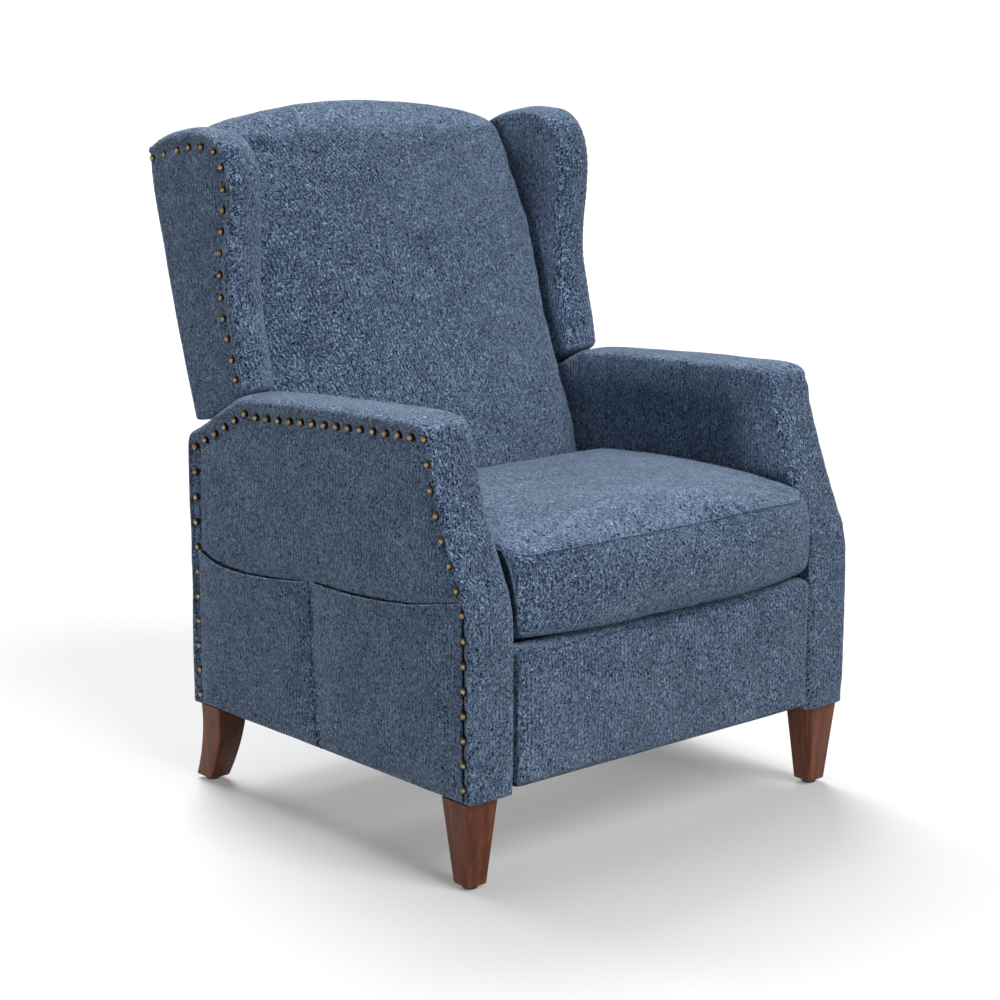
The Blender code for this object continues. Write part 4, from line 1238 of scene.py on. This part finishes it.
# =============================================================== footrest pad
def footrest_pad():
    loop = [(-0.2855, 0.1350), (0.2855, 0.1350), (0.2855, 0.3325), (-0.2855, 0.3325)]   # x, z
    base = relax(resample(loop, 0.004), 3)
    secs = [(-0.3860, 0.0025), (-0.3880, 0.0006), (-0.3940, 0.0), (-0.4020, 0.0006), (-0.4080, 0.0022),
            (-0.4120, 0.0052), (-0.4145, 0.0095), (-0.4158, 0.0150)]
    fam = inset_family(base, [d for _, d in secs])
    rings = [np.column_stack([fam[d][:, 0], np.full(len(base), yv), fam[d][:, 1]]) for yv, d in secs]
    v, f = loft(rings)
    ob = add("footrest_pad_soft", v, f)
    remesh(ob, 0.004, 3)
    co, no = get_co(ob.data), get_no(ob.data)
    fr = np.clip((-(co[:, 1] - YS) - 0.405) / 0.006, 0, 1)
    ex = 0.2855 - np.abs(co[:, 0])
    ez = np.minimum(co[:, 2] - 0.1350, 0.3325 - co[:, 2])
    e = np.clip(np.minimum(ex, ez), 0, 1)
    co[:, 1] -= fr * 0.0042 * (1 - np.exp(-(e / 0.035) ** 1.4))
    h = wob(co, 9.0, 9.9)
    co += no * (0.0010 * h * fr)[:, None]
    set_co(ob.data, co)
    limit(ob, (-0.2862, -0.4230, None), (0.2862, -0.3853, 0.3335))
    finish_piece(ob, "footrest", ["footrest_pad"])


footrest_pad()


# =============================================================== seat deck edge
def deck_edge():
    """Fabric wrapped round the front rail, under the cushion."""
    loop = [(-0.3655, 0.3060), (-0.3655, 0.3418), (-0.3340, 0.3418), (-0.3340, 0.3060)]
    base = relax(resample(loop, 0.003), 3)
    fam = inset_family(base, [0.0, 0.0015])
    rings = []
    for x in (0.2758, 0.2750, 0.2, 0.1, 0.0, -0.1, -0.2, -0.2750, -0.2758):
        rings.append(np.column_stack([np.full(len(base), x), fam[0.0015 if abs(x) > 0.2754 else 0.0]]))
    v, f = loft(rings)
    ob = add("seat_deck_edge", v, f)
    remesh(ob, 0.004, 2)
    undulate(ob, 0.0005, 14.0, 5.0)
    limit(ob, (-0.2760, -0.3665, 0.3050), (0.2760, -0.3330, 0.3420))
    finish_piece(ob, "seat", ["seat_rail_front"])


deck_edge()


# =============================================================== outside back
def outside_back():
    half = [(0.2845, -0.232), (0.2845, 0.004), (0.3420, 0.008), (0.3420, 0.398), (0.3340, 0.4045),
            (0.2890, 0.4040), (0.2840, 0.4000), (0.190, 0.412), (0.095, 0.421)]
    loop = [(-a, b) for a, b in reversed(half)]
    loop = half + [(0.0, 0.424)] + loop
    base = relax(resample(loop, 0.004), 3)
    secs = [(0.0080, 0.0020), (0.0060, 0.0003), (0.0010, 0.0), (-0.0014, 0.0012), (-0.0028, 0.0040),
            (-0.0034, 0.0090)]
    fam = inset_family(base, [d for _, d in secs])
    rings = []
    for uu, d in secs:
        p = fam[d]
        yy = BACK_BASE[0] - uu * CL + p[:, 1] * SL
        zz = BACK_BASE[1] + uu * SL + p[:, 1] * CL
        rings.append(np.column_stack([p[:, 0], yy, zz]))
    v, f = loft(rings)
    ob = add("outside_back_upholstery", v, f)
    remesh(ob, 0.0036, 2)
    co = get_co(ob.data)
    yy, zz = co[:, 1] - YS, co[:, 2]
    uu = -(yy - BACK_BASE[0]) * CL + (zz - BACK_BASE[1]) * SL
    vv = (yy - BACK_BASE[0]) * SL + (zz - BACK_BASE[1]) * CL
    rear = np.clip((0.003 - uu) / 0.003, 0, 1)
    lp = np.vstack([base, base[:1]])
    d, _ = seg_dist(np.stack([co[:, 0], vv], 1), lp)
    puff = 0.0050 * (1 - np.exp(-(d / 0.05) ** 1.5)) + 0.0009 * wob(co, 7.0, 2.2)
    co[:, 1] += rear * puff * CL
    co[:, 2] -= rear * puff * SL
    set_co(ob.data, co)
    finish_piece(ob, "back", ["outside_back_panel"])


outside_back()


# =============================================================== rear rail
def rear_rail():
    loop = [(0.1965, 0.1285), (0.2255, 0.1285), (0.2255, 0.2145), (0.1965, 0.2145)]
    base = relax(resample(loop, 0.003), 6)
    secs = [(0.2874, 0.0)]
    xs = [0.2874, 0.2860, 0.2500, 0.2, 0.15, 0.1, 0.05, 0.0, -0.05, -0.1, -0.15, -0.2, -0.25, -0.2860, -0.2874]
    fam = inset_family(base, [0.0, 0.0015])
    rings = [np.column_stack([np.full(len(base), x), fam[0.0015 if abs(x) > 0.287 else 0.0]]) for x in xs]
    v, f = loft(rings)
    ob = add("rear_rail_upholstery", v, f)
    remesh(ob, 0.004, 2)
    undulate(ob, 0.0006, 14.0, 3.0)
    limit(ob, (-0.2874, 0.1955, 0.1280), (0.2874, 0.2275, 0.2155))
    finish_piece(ob, "base", ["rear_cross_rail"])


rear_rail()


# =============================================================== legs
def rounded(hx, hy, r, per=5):
    pts = []
    for cx, cy, a0 in ((hx - r, hy - r, 0), (-hx + r, hy - r, 90), (-hx + r, -hy + r, 180), (hx - r, -hy + r, 270)):
        for k in range(per):
            a = math.radians(a0 + 90 * k / (per - 1))
            pts.append((cx + r * math.cos(a), cy + r * math.sin(a)))
    return pts


def leg(name, cx, secs, node_name):
    """secs: (cy, half x, half y, z, corner radius)."""
    rings = []
    for cy, hx, hy, z, r in secs:
        p = np.array(rounded(hx, hy, r))
        rings.append(np.column_stack([cx + p[:, 0], cy + p[:, 1], np.full(len(p), z)]))
    v, f = loft(rings)
    ob = outward(add(name, v, f, WOOD))
    ob.data.set_sharp_from_angle(angle=math.radians(40))
    finish_piece(ob, "base", [node_name])


def glide(name, cx, cy, node_name):
    prof = [(0.0082, 0.0), (0.0098, 0.0006), (0.0106, 0.0018), (0.0110, 0.0034), (0.0110, 0.0060)]
    seg = 32
    rings = []
    for r, z in prof:
        a = np.linspace(0, 2 * math.pi, seg, endpoint=False)
        rings.append(np.column_stack([cx + r * np.cos(a), cy + r * np.sin(a), np.full(seg, z)]))
    v, f = loft(rings)
    ob = outward(add(name, v, f, GLIDE))
    ob.data.set_sharp_from_angle(angle=math.radians(50))
    finish_piece(ob, "base", [node_name])


for tag, s in SIDES:
    z0, z1 = 0.0063, 0.1272
    secs = []
    for t in (0.0, 0.012, 0.03, 0.25, 0.5, 0.75, 1.0):
        foot = 0.0012 * max(0.0, 1 - t / 0.012)
        hw = 0.016 + 0.011 * t - foot
        secs.append((-0.3735, hw, hw, z0 + (z1 - z0) * t, 0.0022))
    leg("front_leg_" + tag, s * 0.337, secs, "leg_front_" + tag)
    secs = []
    for t in [0.0, 0.012, 0.03] + [k / 16.0 for k in range(1, 17)]:
        foot = 0.0012 * max(0.0, 1 - t / 0.012)
        cy = 0.2330 - 0.0350 * (1 - (1 - t) ** 1.9)
        secs.append((cy, 0.0170 + 0.009 * t - foot, 0.0195 + 0.0045 * t - foot, z0 + (z1 - z0) * t, 0.0025))
    leg("rear_leg_" + tag, s * 0.337, secs, "leg_rear_" + tag)
    glide("front_glide_" + tag, s * 0.337, -0.3735, "glide_front_" + tag)
    glide("rear_glide_" + tag, s * 0.337, 0.2330, "glide_rear_" + tag)


# =============================================================== stage
def floor_material():
    m, t, b = nt("studio_floor")
    obj = node(t, "ShaderNodeTexCoord").outputs["Object"]
    n = noise_tex(t, obj, 3.0, 3.0, 0.5).outputs["Fac"]
    link(t, ramp(t, n, [(0.3, (0.65, 0.65, 0.65)), (0.7, (0.665, 0.665, 0.665))]), b.inputs["Base Color"])
    b.inputs["Emission Color"].default_value = (1.0, 1.0, 1.0, 1.0)
    b.inputs["Emission Strength"].default_value = 0.19
    b.inputs["Roughness"].default_value = 0.6
    b.inputs["Specular IOR Level"].default_value = 0.2
    return m


fv, ff = [], []
NR = 48
for r in (0.0, 5.0, 60.0, 1500.0):
    for k in range(NR):
        a = 2 * math.pi * k / NR
        fv.append((r * math.cos(a), r * math.sin(a), 0.0))
for i in range(3):
    for k in range(NR):
        l = (k + 1) % NR
        if i == 0:
            ff.append((k * 0, NR + k, NR + l))
        else:
            ff.append((i * NR + k, (i + 1) * NR + k, (i + 1) * NR + l, i * NR + l))
fme = bpy.data.meshes.new("studio_floor")
fme.from_pydata(fv, [], ff)
fme.validate()
fme.materials.append(floor_material())
floor = bpy.data.objects.new("studio_floor", fme)
bpy.context.scene.collection.objects.link(floor)
floor.visible_diffuse = False

world = bpy.data.worlds.new("studio")
bpy.context.scene.world = world
world.use_nodes = True
bg = world.node_tree.nodes["Background"]
bg.inputs["Color"].default_value = (1.0, 1.0, 1.0, 1.0)
bg.inputs["Strength"].default_value = 0.058


def area(name, loc, target, size, power, size_y=None, colour=(1, 1, 1)):
    ld = bpy.data.lights.new(name, 'AREA')
    ld.shape = 'RECTANGLE'
    ld.size = size
    ld.size_y = size_y or size
    ld.energy = power
    ld.color = colour
    ob = bpy.data.objects.new(name, ld)
    bpy.context.scene.collection.objects.link(ob)
    ob.location = loc
    d = Vector(target) - Vector(loc)
    ob.rotation_euler = d.to_track_quat('-Z', 'Y').to_euler()
    return ob


def sun(name, azimuth, elevation, spread, power, colour=(1, 1, 1)):
    """A distant softbox: azimuth 0 is in front of the chair, 90 on its image left."""
    ld = bpy.data.lights.new(name, 'SUN')
    ld.angle = math.radians(spread)
    ld.energy = power
    ld.color = colour
    ob = bpy.data.objects.new(name, ld)
    bpy.context.scene.collection.objects.link(ob)
    a, e = math.radians(azimuth), math.radians(elevation)
    d = Vector((-math.sin(a) * math.cos(e), -math.cos(a) * math.cos(e), math.sin(e)))
    ob.rotation_euler = (-d).to_track_quat('-Z', 'Y').to_euler()
    return ob


sun("key_overhead", 180.0, 78.0, 34.0, 1.0)
sun("rear_key", -150.0, 50.0, 30.0, 1.8)
sun("rear_low", 180.0, 35.0, 30.0, 1.0)
sun("front_key", -4.0, 44.0, 32.0, 1.70)
sun("front_low", -16.0, 16.0, 30.0, 0.62)
sun("side_fill", 84.0, 3.0, 8.0, 1.14)

cam_data = bpy.data.cameras.new("camera")
cam = bpy.data.objects.new("camera", cam_data)
bpy.context.scene.collection.objects.link(cam)
cam.location = (-2.3304, -2.6893, 1.1979)
cam.rotation_euler = (math.radians(90 - 12.16), math.radians(0.01), math.radians(-40.94))
cam_data.sensor_width = 36.0
cam_data.lens = 87.7
cam_data.clip_start = 0.05
cam_data.clip_end = 4000.0
bpy.context.scene.camera = cam
bpy.context.scene.view_settings.view_transform = 'Standard'
bpy.context.scene.view_settings.look = 'None'
